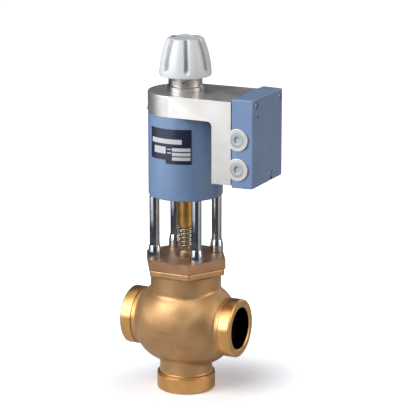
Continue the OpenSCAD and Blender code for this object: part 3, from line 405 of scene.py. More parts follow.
def blend_union(a, b, k):
    h = np.clip(0.5 + 0.5 * (b - a) / k, 0, 1)
    return b + (a - b) * h - k * h * (1 - h)


def round_both(a, b, r):
    """What lies in both a and b, with an edge of radius r."""
    u, v = np.maximum(a + r, 0), np.maximum(b + r, 0)
    return np.minimum(np.maximum(a, b) + r, 0) + np.sqrt(u * u + v * v) - r


def slab(value, low, high):
    return np.maximum(low - value, value - high)


def hexagon_field(x, y, corner, r):
    """A hexagon with corners on X, its corners rounded."""
    d = None
    for angle in (30, 90, 150):
        u, v = polar(1, angle)
        side = np.abs(x * u + y * v) - corner * math.cos(math.radians(30))
        d = side if d is None else -blend_union(-d, -side, r)
    return d


def skin(field, low, high, cell):
    """Points and faces of the surface where the field is zero, one point in each cell that it crosses."""
    axes = [np.arange(a - cell, b + 2 * cell, cell) for a, b in zip(low, high)]
    value = field(*np.meshgrid(*axes, indexing="ij"))
    shape = [n - 1 for n in value.shape]
    count, total = np.zeros(shape), np.zeros(shape + [3])
    for axis in range(3):
        others = [a for a in range(3) if a != axis]
        for shift in ((0, 0), (0, 1), (1, 0), (1, 1)):
            first, second = [slice(None)] * 3, [slice(None)] * 3
            first[axis], second[axis] = slice(0, -1), slice(1, None)
            for other, s in zip(others, shift):
                first[other] = second[other] = slice(s, s + shape[other])
            a, b = value[tuple(first)], value[tuple(second)]
            crossed = (a < 0) != (b < 0)
            count += crossed
            total[..., axis] += np.where(crossed, a / np.where(crossed, a - b, 1), 0)
            for other, s in zip(others, shift):
                total[..., other] += s * crossed
    used = count > 0
    index = np.full(shape, -1)
    index[used] = np.arange(used.sum())
    points = np.array([a[0] for a in axes]) + cell * (np.argwhere(used) + total[used] / count[used][:, None])
    faces = []
    for axis in range(3):
        first, second = [slice(1, -1)] * 3, [slice(1, -1)] * 3
        first[axis], second[axis] = slice(0, -1), slice(1, None)
        inner, outer = value[tuple(first)] < 0, value[tuple(second)] < 0
        quad = []
        for step in ((0, 0), (1, 0), (1, 1), (0, 1)):
            at = np.argwhere(inner != outer)
            at[:, [(axis + 1) % 3, (axis + 2) % 3]] += step
            quad.append(index[tuple(at.T)])
        quad = np.stack(quad, -1)
        flip = ~inner[inner != outer]
        quad[flip] = quad[flip][:, ::-1]
        faces.append(quad)
    for _ in range(3):
        slope, here = slope_of(field, points)
        step = here[:, None] * slope / np.maximum((slope ** 2).sum(-1), 0.2)[:, None]
        length = np.linalg.norm(step, axis=1)[:, None]
        points = points - step * np.minimum(1, 0.4 * cell / np.maximum(length, 1e-9))
    return points, np.concatenate(faces)


def slope_of(field, points, reach=0.02):
    """The field's slope at some points, and its value there."""
    slope = np.zeros(points.shape)
    for axis in range(3):
        shift = np.zeros(3)
        shift[axis] = reach
        ahead, behind = points + shift, points - shift
        slope[:, axis] = (field(*ahead.T) - field(*behind.T)) / (2 * reach)
    return slope, field(*points.T)


def skin_piece(name, field, low, high, cell, material):
    """An object from a field, shaded by the field's own slope."""
    points, faces = skin(field, low, high, cell)
    made = piece(name, points.tolist(), faces.tolist(), material, None, False)
    mesh = made.data
    mesh.polygons.foreach_set("use_smooth", [True] * len(mesh.polygons))
    slope, _ = slope_of(field, points, 0.25)
    slope /= np.maximum(np.linalg.norm(slope, axis=1), 1e-9)[:, None]
    mesh.normals_split_custom_set_from_vertices(slope.tolist())
    return made


# The cast body

barrel_r = 45
barrel_power = 2.5
globe_r = 44.6
globe_reach = 42
globe_power = 3
side_collar_end = half_face - side_ring - groove_w
collar_len = 4.5
barrel_half = side_collar_end - collar_len
barrel_reach = barrel_half / (1 - (collar_r / barrel_r) ** barrel_power) ** (1 / barrel_power)
ring_overlap = 0.6
hex_foot = body_top - 8.2
lower_seat = port_z - 17
upper_seat = port_z + 17
seat_h = 6
seat_r = 20
chamber_r = 22
upper_chamber_r = 28
recess_r = 31
recess_z = body_top - 20
passage = (25, 33)
passage_top = upper_seat + seat_h + 8
passage_side = -14.3
right_bore_end = 5
left_bore_end = -27


def port_hole(d):
    """The casting's hole at a depth from a port's face. It stays behind the machined insert's wall."""
    return np.interp(d, [0, 15.5, 25, 25.2, 80], [24, 24, 18, waterway_r, waterway_r])


def oval(u, v, power):
    """1 on a swollen ellipse, less inside it and more outside."""
    return (u ** power + v ** power) ** (1 / power)


def body_field(x, y, z):
    dz = z - port_z
    flat = np.sqrt(x * x + y * y)
    tube = np.sqrt(y * y + dz * dz)
    reach_x = np.abs(x)
    barrel = oval(tube / barrel_r, reach_x / barrel_reach, barrel_power)
    barrel = round_both((barrel - 1) * barrel_r, reach_x - barrel_half, 0.5)
    globe = oval(flat / globe_r, np.maximum(dz, 0) / globe_reach, globe_power)
    globe = np.maximum((globe - 1) * globe_r, -dz)
    outer = blend_union(barrel, globe, 2.5)
    outer = blend_union(outer, np.maximum(flat - neck_r, slab(z, port_z, body_top - 3)), 1.8)
    outer = blend_union(outer, np.maximum(flat - lower_neck_r, slab(z, bottom_ring + groove_w, port_z)), 2.4)
    collar = np.maximum(tube - collar_r, slab(reach_x, barrel_half - 1, side_collar_end - ring_overlap))
    outer = blend_union(outer, collar, 1.2)
    foot_top = bottom_ring + groove_w + 1.2
    foot = np.maximum(flat - collar_r, slab(z, bottom_ring + groove_w + ring_overlap, foot_top))
    outer = blend_union(outer, foot, 1.6)
    flange = round_both(hexagon_field(x, y, hex_corner - hex_step, 1.5), slab(z, hex_foot + 1.2, body_top), 1.4)
    outer = blend_union(outer, flange, 1.6)
    bore = tube - port_hole(half_face - reach_x)
    hollow = np.maximum(bore, np.where(x > 0, right_bore_end - x, x - left_bore_end))
    hollow = np.minimum(hollow, np.maximum(flat - port_hole(z), z - lower_seat + seat_h))
    for r, low, high in ((seat_r, lower_seat - seat_h, upper_seat + seat_h), (chamber_r, lower_seat, upper_seat),
                         (upper_chamber_r, upper_seat + seat_h, recess_z + 1), (recess_r, recess_z, body_top + 5)):
        hollow = np.minimum(hollow, np.maximum(flat - r, slab(z, low, high)))
    rise = np.maximum(slab(flat, *passage), slab(z, port_z - waterway_r, passage_top))
    hollow = np.minimum(hollow, np.maximum(rise, x - passage_side))
    return np.maximum(outer, -hollow)


cast_body = skin_piece("cast_body", body_field, (body_low[0] + side_ring, body_low[1], bottom_ring),
                       (half_face - side_ring, body_high[1], body_top), 1.15, BRONZE)
install(cast_body, "root", "valve_body")


def port_insert(ring_len):
    """Outline of a machined port from its face inwards: threaded ring, groove, step, mouth and cone."""
    step, groove_r = ring_len + groove_w, thread_r - groove_depth
    outline = [
        (mouth_r + 1.1, 0), (thread_r - 1.4, 0), (thread_r, 1.4), (thread_r, ring_len), (groove_r, ring_len),
        (groove_r, step), (collar_r, step),
        (collar_r, step + ring_overlap + 0.4), (25.5, step + ring_overlap + 1.4), (19, 25.5), (waterway_r, 25.5),
        (waterway_r, 24), (mouth_r, 14), (mouth_r, 1.1),
    ]
    return rounded(outline, [0.25, 0.3, 0.4, 0.25, 0.2, 0.2, 0.35] + [0] * 5 + [0.4, 0.25])


def add_ports():
    """The three machined ports, as inserts that stand in the casting's holes."""
    ports = [(bottom_ring, along((0, 0, 1), (0, 0, 0))),
             (side_ring, along((-1, 0, 0), (half_face, 0, port_z))),
             (side_ring, along((1, 0, 0), (-half_face, 0, port_z)))]
    inserts = joined(*[revolve(port_insert(ring_len), 160, place) for ring_len, place in ports])
    return piece("machined_ports", *inserts, RING_BRONZE)


install(add_ports(), "root")


# Solids of matching loops

def loft(loops, closed=False):
    """Joins loops of the same count. Closed joins the last to the first, or else both ends get caps."""
    count = len(loops[0])
    points = [p for loop in loops for p in loop]
    faces = []
    rows = len(loops)
    for i in range(rows if closed else rows - 1):
        a, b = i * count, (i + 1) % rows * count
        faces += [[a + k, a + (k + 1) % count, b + (k + 1) % count, b + k] for k in range(count)]
    if not closed:
        faces += [list(range(count))[::-1], list(range((rows - 1) * count, rows * count))]
    return points, faces


def hexagon(corner, z, r=1.0, arc=5, flat=0):
    """A loop round a hexagon with its corners on X rounded, and some points along each flat."""
    centre = corner - r / math.sin(math.radians(60))
    loop = []
    for k in range(6):
        bend = [Vector((*polar(centre, 60 * k), z)) + Vector((*polar(r, 60 * k - 30 + 60 * i / arc), 0))
                for i in range(arc + 1)]
        end = Vector((*polar(centre, 60 * k + 60), z)) + Vector((*polar(r, 60 * k + 30), 0))
        loop += bend + [bend[-1].lerp(end, (i + 1) / (flat + 1)) for i in range(flat)]
    return [tuple(p) for p in loop]


def circle(r, z, arc=5, flat=0):
    """A round loop whose points match a hexagon's."""
    count = 6 * (arc + 1 + flat)
    return [(*polar(r, 360 * (k - arc / 2) / count), z) for k in range(count)]


def evaluated(made):
    """Applies the modifiers that a piece carries and leaves a plain mesh."""
    depsgraph = bpy.context.evaluated_depsgraph_get()
    mesh = bpy.data.meshes.new_from_object(made.evaluated_get(depsgraph))
    made.modifiers.clear()
    made.data = mesh
    return made


def boolean(made, shapes, operation):
    """Joins other solids to a piece, keeps what they share with it, or cuts them out of it."""
    tools = []
    for i, shape in enumerate(shapes):
        tool = piece(f"{made.name}_tool_{i}", *shape, made.data.materials[0], crease=None)
        tools.append(tool)
        step = made.modifiers.new("step", "BOOLEAN")
        step.operation = operation
        step.solver = "EXACT"
        step.object = tool
    evaluated(made)
    for tool in tools:
        bpy.data.objects.remove(tool)


def soften(made, width, segments, where):
    """Breaks the sharp edges whose two ends meet a condition."""
    work = bmesh.new()
    work.from_mesh(made.data)
    bmesh.ops.remove_doubles(work, verts=work.verts, dist=1e-6)
    bmesh.ops.dissolve_limit(work, angle_limit=math.radians(0.3), verts=work.verts, edges=work.edges)
    sharp = [e for e in work.edges if e.is_manifold and e.calc_face_angle() > math.radians(35)
             and where(e.verts[0].co) and where(e.verts[1].co)]
    bmesh.ops.bevel(work, geom=sharp, offset=width * MM, segments=segments, affect="EDGES", clamp_overlap=True,
                    profile=0.5)
    work.to_mesh(made.data)
    work.free()
    settle(made.data, 30)
    even = made.modifiers.new("even_normals", "WEIGHTED_NORMAL")
    even.keep_sharp = True
    evaluated(made)


def rod(r, length, sides=64):
    """A plain cylinder along Z, used to cut holes."""
    return revolve([(0, 0), (r, 0), (r, length), (0, length)], sides)


def block(low, high):
    """A plain box, used to cut slots."""
    corners = [(x, y, z) for x in (low[0], high[0]) for y in (low[1], high[1]) for z in (low[2], high[2])]
    return corners, [(0, 1, 3, 2), (4, 6, 7, 5), (0, 4, 5, 1), (2, 3, 7, 6), (0, 2, 6, 4), (1, 5, 7, 3)]


# Geometry Nodes

def new_tree(name, inputs, output):
    """A Geometry Nodes tree, and the sockets that hand out its named inputs."""
    tree = bpy.data.node_groups.new(name, "GeometryNodeTree")
    for label, kind in inputs.items():
        tree.interface.new_socket(label, in_out="INPUT", socket_type="NodeSocket" + kind)
    tree.interface.new_socket(output, in_out="OUTPUT", socket_type="NodeSocketGeometry")
    return tree, add_node(tree, "NodeGroupInput").outputs


def end_tree(tree, geometry, finish):
    """Makes copies real, gives them their material and hands them out."""
    real = add_node(tree, "GeometryNodeRealizeInstances", Geometry=geometry)
    dressed = add_node(tree, "GeometryNodeSetMaterial", Geometry=real, Material=finish)
    add_node(tree, "NodeGroupOutput", inputs={0: dressed})
    return tree


def copies_tree():
    """Puts copies of one piece on the vertices of the object that carries the modifier."""
    tree, given = new_tree("copies_on_places", {"Places": "Geometry", "Piece": "Object", "Turn": "Vector",
                                                "Finish": "Material"}, "Copies")
    points = add_node(tree, "GeometryNodeMeshToPoints", Mesh=given["Places"])
    original = add_node(tree, "GeometryNodeObjectInfo", Object=given["Piece"]).outputs["Geometry"]
    placed_copies = add_node(tree, "GeometryNodeInstanceOnPoints", Points=points, Instance=original,
                             Rotation=given["Turn"])
    return end_tree(tree, placed_copies, given["Finish"])


def wire_tree():
    """Sweeps a round wire along the edges of the object that carries the modifier."""
    tree, given = new_tree("wire_along_path", {"Path": "Geometry", "Wire radius": "Float", "Sides": "Int",
                                               "Finish": "Material"}, "Wire")
    path = add_node(tree, "GeometryNodeMeshToCurve", Mesh=given["Path"])
    section = add_node(tree, "GeometryNodeCurvePrimitiveCircle", Resolution=given["Sides"],
                       Radius=given["Wire radius"])
    wire = add_node(tree, "GeometryNodeCurveToMesh", Curve=path, Profile_Curve=section, Fill_Caps=True)
    smooth = add_node(tree, "GeometryNodeSetShadeSmooth", Geometry=wire)
    return end_tree(tree, smooth, given["Finish"])


COPIES = copies_tree()
WIRE_TREE = wire_tree()


def grown(name, points, edges, tree, **inputs):
    """What a tree with named inputs makes of some points in millimetres, as a plain mesh."""
    made = from_points(name, points, edges)
    modifier = made.modifiers.new("nodes", "NODES")
    modifier.node_group = tree
    for item in tree.interface.items_tree:
        label = item.name.replace(" ", "_")
        if item.in_out == "INPUT" and label in inputs:
            modifier[item.identifier] = inputs[label]
    return evaluated(made)


def copies(name, master, places, material, turn=(0, 0, 0)):
    """One object that holds a copy of the master on each place. The master is used up."""
    made = grown(name, places, [], COPIES, Piece=master, Turn=turn, Finish=material)
    bpy.data.objects.remove(master)
    return made


def wire_piece(name, path, wire_radius, sides):
    """One unbroken wire along a path."""
    edges = [(i, i + 1) for i in range(len(path) - 1)]
    return grown(name, path, edges, WIRE_TREE, Wire_radius=wire_radius * MM, Sides=sides, Finish=WIRE)


# Bonnet

def add_bonnet():
    bore, gland_bore, gland_foot = 7, 8.45, bonnet_top - gland_deep
    spigot_r, spigot_z = 30.95, recess_z + 1
    arc, flat = 5, 15
    edge = 0.4
    limit = hex_corner - 2.2
    shoulder, crown = [], []
    for x, y, z in hexagon(hex_corner, bonnet_top, 1.0, arc, flat):
        r = math.hypot(x, y)
        drop = max(0, (r - limit) / 2)
        inner = min(r, limit) - edge
        shoulder.append((x, y, z - drop - edge / 2))
        crown.append((x * inner / r, y * inner / r, z))
    loops = [
        hexagon(hex_corner - edge, body_top, 1.0, arc, flat), hexagon(hex_corner, body_top + edge, 1.0, arc, flat),
        shoulder, crown,
    ]
    loops += [circle(r, z, arc, flat) for r, z in (
        (gland_bore, bonnet_top), (gland_bore, gland_foot), (bore, gland_foot), (bore, spigot_z),
        (spigot_r - edge, spigot_z), (spigot_r, spigot_z + edge), (spigot_r, body_top))]
    return piece("hexagonal_bonnet", *loft(loops, True), BONNET_BRONZE, 25)


install(add_bonnet(), "root", "bonnet")


# Stem, gland and springs

stem_r = 4
spring_z, spring_top = heights("stem_spring")
coupling_r = radius("stem_coupling")
spring_r = 7.4
wire_r = 1.1
spring_turns = 5
spring_start = 260
press_wire_r = 0.8
press_turns = 3.25


def add_stem_pieces():
    """The gland's flange, the spring's seat, the coupling and the stem."""
    hole = stem_r + 0.2
    foot, r, top = bonnet_top - gland_deep, radius("gland_nut"), heights("gland_nut")[1]
    outline = [(hole, foot), (8.4, foot), (8.4, bonnet_top), (r, bonnet_top), (r, top), (hole, top)]
    made = turned_piece("gland_flange", outline, [0, 0.3, 0, 0.3, 0.6, 0.3], DULL_BRASS)
    install(made, "root", "gland_nut")

    r, (z, top) = radius("spring_seat"), heights("spring_seat")
    outline = [(hole, z), (r, z), (r, z + 1.2), (spring_r, spring_z - 1), (6.3, spring_z), (5.05, spring_z),
               (5.0, top), (hole, top)]
    made = turned_piece("spring_seat_dome", outline, [0, 0.3, 1.2, 0.9, 0.3, 0.2, 0.4, 0.2], DULL_BRASS, 5)
    install(made, "root", "spring_seat")

    z, top, pocket = heights("stem_coupling")[0], heights("armature")[0], spring_r + 0.1
    outline = [(pocket, z), (coupling_r - 0.6, z), (coupling_r, z + 2.4), (coupling_r, top), (stem_r, top),
               (stem_r, z + 6), (pocket, z + 6)]
    made = turned_piece("coupling_sleeve", outline, [0.3, 0.8, 1.6, 0.3, 0, 0, 0.2], BRASS, 5)
    install(made, "stem_set", "stem_coupling")

    (z, top), shoulder_r = heights("valve_stem"), 6
    outline = [(0, z), (stem_r, z), (stem_r, z + 15.5), (shoulder_r, z + 15.5), (shoulder_r, z + 18.5),
               (stem_r, z + 18.5), (stem_r, top), (0, top)]
    made = turned_piece("stem_rod", outline, [0, 0.4, 0, 0.3, 0.3, 0, 0.3, 0], STEEL, steps=64)
    install(made, "stem_set", "valve_stem")


add_stem_pieces()


def coil_path(r, low, high, turns, start, straight, bend, per_turn=40):
    """Points of a helix about Z whose ends stand straight and bend into the first and last turn."""
    bend_angle = 22.5
    foot, head = low + straight + bend, high - straight - bend
    steps = round(turns * per_turn)
    shares = [i / 6 for i in range(1, 6)]
    route = [(start, low), (start, low + straight)]
    route += [(start + bend_angle * t * t, low + straight + bend * (2 * t - t * t)) for t in shares]
    first = start + bend_angle
    last = first + 360 * turns
    route += [(first + 360 * i / per_turn, foot + (head - foot) * i / steps) for i in range(steps + 1)]
    route += [(last + bend_angle * (2 * t - t * t), head + bend * t * t) for t in shares]
    route += [(last + bend_angle, high - straight), (last + bend_angle, high)]
    return [(*polar(r, a), z) for a, z in route]


def add_spring(name, node, path, wire_radius, sides):
    """A wire spring on its node's place."""
    made = install(wire_piece(name, path, wire_radius, sides), "root", node)
    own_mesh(made)


def add_springs():
    """The stem's spring, and the knob's spring inside its collar."""
    path = coil_path(spring_r - wire_r, spring_z, spring_top, spring_turns, spring_start, 2 * wire_r, 1.6 * wire_r)
    add_spring("stem_spring_wire", "stem_spring", path, wire_r, 14)
    low, high = heights("press_spring")
    path = coil_path(radius("press_spring") - press_wire_r, low + press_wire_r, high - press_wire_r, press_turns, 0,
                     0.1, press_wire_r / 2)
    add_spring("knob_spring_wire", "press_spring", path, press_wire_r, 10)


add_springs()


# Columns

column_places = [(sx * column_offset, sy * column_offset, 0) for sx in (-1, 1) for sy in (-1, 1)]


def add_columns():
    """The four columns and the tapered nuts at their feet."""
    foot = bonnet_top - gland_deep
    outline = [(0, foot), (column_r, foot), (column_r, housing_z), (0, housing_z)]
    master = turned_piece("column_master", outline, [0, 0.4, 0.3, 0], ZINC, steps=64)
    nodes = ["column_front_left", "column_front_right", "column_rear_left", "column_rear_right"]
    install(copies("columns", master, column_places, ZINC), "root", nodes)
    r, low, high = 6.7, bonnet_top, heights("column_nuts")[1]
    outline = [(column_r, low), (r, low), (r, (low + high) / 2), (column_r + 0.4, high), (column_r, high)]
    master = turned_piece("nut_master", outline, [0, 0.5, 1.5, 0.2, 0], ZINC, 5, 64)
    install(copies("column_foot_nuts", master, column_places, ZINC), "root", "column_nuts")


add_columns()


# Magnet housing

def add_housing():
    wall, floor, hole = 3.6, 8, coupling_r + 0.4
    inner = housing_r - wall
    outline = [(hole, housing_z), (housing_r, housing_z), (housing_r, bracket_floor), (inner, bracket_floor),
               (inner, housing_z + floor), (hole, housing_z + floor)]
    return turned_piece("housing_shell", outline, [0.4, 1.6, 0.25, 0.3, 0.3, 0.3], BLUE, 6, 192)


install(add_housing(), "root", "magnet_housing")


# Rating plate, drawn flat as arc length against height and then wrapped round the housing

def wrapped(outline, inner, thick, edge):
    """Points and faces of a thin plate, its outline in degrees and millimetres, wrapped on a cylinder."""
    work = bmesh.new()
    work.faces.new([work.verts.new((math.radians(a) * inner, 0, z)) for a, z in outline])
    angles = [a for a, z in outline]
    for k in range(math.ceil(min(angles)), math.ceil(max(angles))):
        geometry = work.verts[:] + work.edges[:] + work.faces[:]
        bmesh.ops.bisect_plane(work, geom=geometry, plane_co=(math.radians(k) * inner, 0, 0), plane_no=(1, 0, 0))
    raised = bmesh.ops.extrude_face_region(work, geom=work.faces[:])
    for vert in [v for v in raised["geom"] if isinstance(v, bmesh.types.BMVert)]:
        vert.co.y -= thick
    bmesh.ops.recalc_face_normals(work, faces=work.faces)
    rim = [e for e in work.edges if e.is_manifold and e.calc_face_angle() > 1]
    bmesh.ops.bevel(work, geom=rim, offset=edge, segments=2, affect="EDGES")
    work.verts.index_update()
    points = [(*polar(inner - v.co.y, math.degrees(v.co.x / inner)), v.co.z) for v in work.verts]
    faces = [[v.index for v in f.verts] for f in work.faces]
    work.free()
    return points, faces


plate_z, plate_top = heights("rating_plate")
plate_from, plate_to = -126.5, -55
plate_step, plate_step_z = -95.5, 246.7
plate_out = housing_r + 0.45


def rectangle(a0, a1, z0, z1):
    return [(a0, z0), (a1, z0), (a1, z1), (a0, z1)]


def add_rating_plate():
    outline = [(plate_step, plate_z), (plate_to, plate_z), (plate_to, plate_top), (plate_from, plate_top),
               (plate_from, plate_step_z), (plate_step, plate_step_z)]
    return piece("rating_plate_foil", *wrapped(outline, housing_r + 0.02, plate_out - housing_r - 0.02, 0.1), NAVY)


def add_fields():
    """The plate's blank fields: a long row, a block on the left and three short rows on the right."""
    layout = [rectangle(-122.5, -69.5, 263.2, 268), rectangle(-117.5, -95, 253, 260)]
    layout += [rectangle(-84.7, -56.5, z, z + 3.4) for z in (246.8, 251.4, 256)]
    layout += [rectangle(-92.5, -86.5, z, z + 1.2) for z in (253.6, 257.2)]
    return piece("plate_fields", *joined(*[wrapped(o, plate_out - 0.02, 0.06, 0.02) for o in layout]), FIELD)


install(add_rating_plate(), "root", "rating_plate")
install(add_fields(), "root")


# Bracket

bracket_wall = 4
entry_x = joint_x + 6.8
entry_zs = (leg_z + 16.4, leg_z + 46)
entries = [(s, z) for s in (-1, 1) for z in entry_zs]
entry_r = 7.2
lobe_r = 11.3
leg_x = 46.7
corner_r = 5
top_wall = 5
screw_ring = 30.4
screw_places = [polar(screw_ring, a) for a in (160, 18, 90)]


def prism(outline, place):
    """A straight solid of an outline, one unit tall before it is placed."""
    points = [(u, v, w) for w in (0, 1) for u, v in outline]
    return placed((points, loft([outline, outline])[1]), place)


def at_entries(shape, depth):
    """A shape at each of the four cable entries, pointing out from a distance to the middle."""
    return [placed(shape, along((0, s, 0), (entry_x, s * depth, z))) for s, z in entries]


def bracket_outside():
    """The side view's outline, extruded across, and the top view's outline, extruded up."""
    r = bracket_half
    bend = [polar(corner_r, a) for a in range(90, -1, -10)]
    arc = [(leg_x - corner_r + u, bracket_floor - corner_r + v) for u, v in bend]
    side = [(-r - 1, bracket_floor)] + arc + [(leg_x, leg_z), (joint_x, leg_z), (joint_x, bracket_top),
                                             (-r - 1, bracket_top)]
    plan = [polar(r, a) for a in range(90, 271, 2)] + [(joint_x + 1, -r), (joint_x + 1, r)]
    across = Matrix(((1, 0, 0, 0), (0, 0, 2 * r + 2, -r - 1), (0, 1, 0, 0), (0, 0, 0, 1)))
    up = Matrix(((1, 0, 0, 0), (0, 1, 0, 0), (0, 0, bracket_top - leg_z + 2, leg_z - 1), (0, 0, 0, 1)))
    return prism(side, across), prism(plan, up)


def add_bracket():
    r, inner_r = bracket_half, bracket_half - bracket_wall
    cavity_top = bracket_top - top_wall
    side, plan = bracket_outside()
    made = piece("cast_bracket", *side, CASTING)
    boolean(made, [plan], "INTERSECT")
    soften(made, 1.8, 5, lambda p: p.z > (bracket_top - 0.01) * MM and p.x < (joint_x - 0.1) * MM)
    soften(made, 0.7, 3, lambda p: p.x < (joint_x - 0.1) * MM)
    lobe = rounded([(0, 0), (lobe_r, 0), (lobe_r, bracket_wall), (0, bracket_wall)], [0, 0.2, 0.6, 0], 5)
    boolean(made, at_entries(revolve(lobe, 96), inner_r), "UNION")
    cutters = [
        placed(rod(inner_r, cavity_top - bracket_floor + 1, 128), Matrix.Translation((0, 0, bracket_floor - 1))),
        block((0, -inner_r, bracket_floor + bracket_wall), (joint_x + 1, inner_r, cavity_top)),
        block((leg_x + bracket_wall, -inner_r, leg_z + bracket_wall), (joint_x + 1, inner_r, cavity_top - 0.01)),
        placed(rod(8.2, top_wall + 2), Matrix.Translation((0, 0, cavity_top - 1))),
    ]
    cutters += at_entries(rod(entry_r, bracket_wall + 4, 96), inner_r - 2)
    cutters += [placed(rod(3.2, 4), Matrix.Translation((x, y, bracket_top - 2.6))) for x, y in screw_places]
    boolean(made, cutters, "DIFFERENCE")
    soften(made, 0.25, 2, lambda p: True)
    return made


install(add_bracket(), "root", "bracket")


# Controller cover

cover_x, cover_half, cover_top = cover_high
cover_z = cover_low[2]
draft = 1.7
cover_wall = 2.5
cover_edge = 1.2
cover_half_end = cover_half - draft
cover_screw_yz = [(s * cover_half_end, cover_z + h * (cover_top - cover_z))
                  for s, h in ((-0.72, 0.92), (0.86, 0.915), (0.23, 0.075))]
lamp_yz = (-0.64 * cover_half_end, cover_z + 0.79 * (cover_top - cover_z))


def cover_loop(x, half, inset, r, arc=4):
    """The cover's outline at X, set in all round, with rounded corners."""
    half, low, high = half - inset, cover_z + inset, cover_top - inset
    centres = ((half - r, high - r), (r - half, high - r), (r - half, low + r), (half - r, low + r))
    bends = [(y, z, *polar(r, 90 * (k + i / arc))) for k, (y, z) in enumerate(centres) for i in range(arc + 1)]
    return [(x, y + dy, z + dz) for y, z, dy, dz in bends]


def add_cover():
    e, w = cover_edge, cover_wall
    inner_x = cover_x - w
    loops = [cover_loop(x, half, inset, e) for x, half, inset in (
        (inner_x, cover_half_end, w), (cover_joint, cover_half, w), (cover_joint, cover_half, 0.2),
        (cover_joint + 0.3, cover_half, 0))]
    slope = draft / (cover_x - cover_joint)
    for i in range(7):
        inwards, outwards = polar(e, 90 * i / 6)
        x, inset = cover_x - e + outwards, e - inwards
        half = cover_half - slope * (x - cover_joint)
        loops.append(cover_loop(x, half, inset, max(e - 0.7 * inset, 0.4)))
    cutters = [placed(rod(3.6, 4), along((1, 0, 0), (cover_x - 2.4, y, z))) for y, z in cover_screw_yz]
    cutters.append(placed(rod(1.45, 8), along((1, 0, 0), (inner_x - 4, *lamp_yz))))
    cutters += at_entries(rod(lobe_r + 0.2, 9, 96), bracket_half - bracket_wall - 0.2)
    y, z = cover_screw_yz[2]
    cutters.append(block((cover_x - 1.5, y - 3.1, cover_z - 2), (cover_x + 2, y + 3.1, z)))
    made = piece("cover_shell", *loft(loops), BLUE_COVER)
    boolean(made, cutters, "DIFFERENCE")
    soften(made, 0.25, 2, lambda p: True)
    return made


install(add_cover(), "root", "controller_cover")


# Screws, plugs and lamp

def screw_shape(head_r=3.1, head_h=2.4, shank_r=1.95, shank=12, socket=1.6, deep=1.4):
    """A socket screw that points down from its head's top at the origin."""
    arc = 7
    loops = [circle(r, z, arc) for r, z in (
        (shank_r - 0.3, -head_h - shank), (shank_r, -head_h - shank + 0.3), (shank_r, -head_h),
        (head_r - 0.1, -head_h), (head_r, -head_h + 0.15), (head_r, -0.4), (head_r - 0.12, -0.12),
        (head_r - 0.4, 0), (socket + 0.15, 0))]
    return loft(loops + [hexagon(socket, z, 0.1, arc) for z in (-0.15, -deep)])


def add_screws(name, places, shank, turn=(0, 0, 0)):
    master = piece("screw_master", *screw_shape(shank=shank), ZINC, 50)
    return copies(name, master, places, ZINC, turn)


def add_plugs(name, side):
    """Blanking plugs with a shallow dish and a hexagonal socket."""
    rim, thick, socket, arc = entry_r - 0.05, bracket_wall - 0.2, 3.5, 11
    loops = [circle(r, z, arc) for r, z in (
        (rim - 0.3, -thick), (rim, -thick + 0.3), (rim, -0.5), (rim - 0.15, -0.15), (rim - 0.5, 0),
        (socket + 0.8, -0.1), (socket + 0.3, -0.2))]
    loops += [hexagon(socket, z, 0.3, arc) for z in (-0.5, -1.8)]
    master = piece("plug_master", *loft(loops), GREY, 45)
    places = [(entry_x, side * (bracket_half - 0.2), z) for z in entry_zs]
    return copies(name, master, places, GREY, (math.radians(-90 * side), 0, 0))


def add_locking_screw():
    angle = 198
    place = along((*polar(1, angle), 0), (*polar(bracket_half + 1.5, angle), bracket_floor + 2.3))
    return piece("side_locking_screw", *placed(screw_shape(1.75, 3, 1.7, 2, 0.9, 1.2), place), STEEL, 50)


def add_lamp():
    place = along((1, 0, 0), (cover_x - 0.3, *lamp_yz))
    outline = [(0, -5), (1.4, -5), (1.4, 0.1), (0, 0.45)]
    return turned_piece("lamp_dome", outline, [0, 0.1, 0.4, 0], LAMP, steps=32, place=place)


bracket_screws = add_screws("bracket_top_screws", [(x, y, bracket_top - 0.1) for x, y in screw_places], 12)
cover_screws = add_screws("cover_face_screws", [(cover_x - 0.1, y, z) for y, z in cover_screw_yz], 30,
                          (0, math.radians(90), 0))
install(bracket_screws, "root", "bracket_screws")
install(cover_screws, "root", "cover_screws")
install(add_plugs("front_blanking_plugs", -1), "root", "front_cable_plugs")
install(add_plugs("rear_blanking_plugs", 1), "root", "rear_cable_plugs")
install(add_locking_screw(), "root", "locking_screw")
install(add_lamp(), "root", "status_lamp")


# Hand knob

def bell(z):
    """The knob's radius at a height."""
    share = max(0, (z - band_z) / (knob_top - band_z))
    return knob_top_r + (knob_r - knob_top_r) * (1 - share ** bell_power)


def flute_depth(angle, z, r):
    """How deep the grooves cut at a place on the bell."""
    pitch = 360 / flute_count
    off = (angle - flute_start + pitch / 2) % pitch - pitch / 2
    low, high = band_z + flute_r, knob_top + flute_r
    beyond = max(low - z, z - high, 0)
    reach = flute_r ** 2 - beyond ** 2 - (r * math.radians(off)) ** 2
    depth = (math.sqrt(reach) if reach > 0 else -math.sqrt(-reach)) - 0.15 * flute_r
    soft = 0.3
    return max(0, depth) if depth > soft else max(0, (depth + soft) ** 2 / (4 * soft) if depth > -soft else 0)


def petal_depth(angle, z):
    """How far the bell draws in towards each groove, so that the parts between them swell like petals."""
    share = min(max((z - band_z) / 7, 0), 1)
    return 0.45 * share * (1 + math.cos(math.radians((angle - flute_start) * flute_count)))


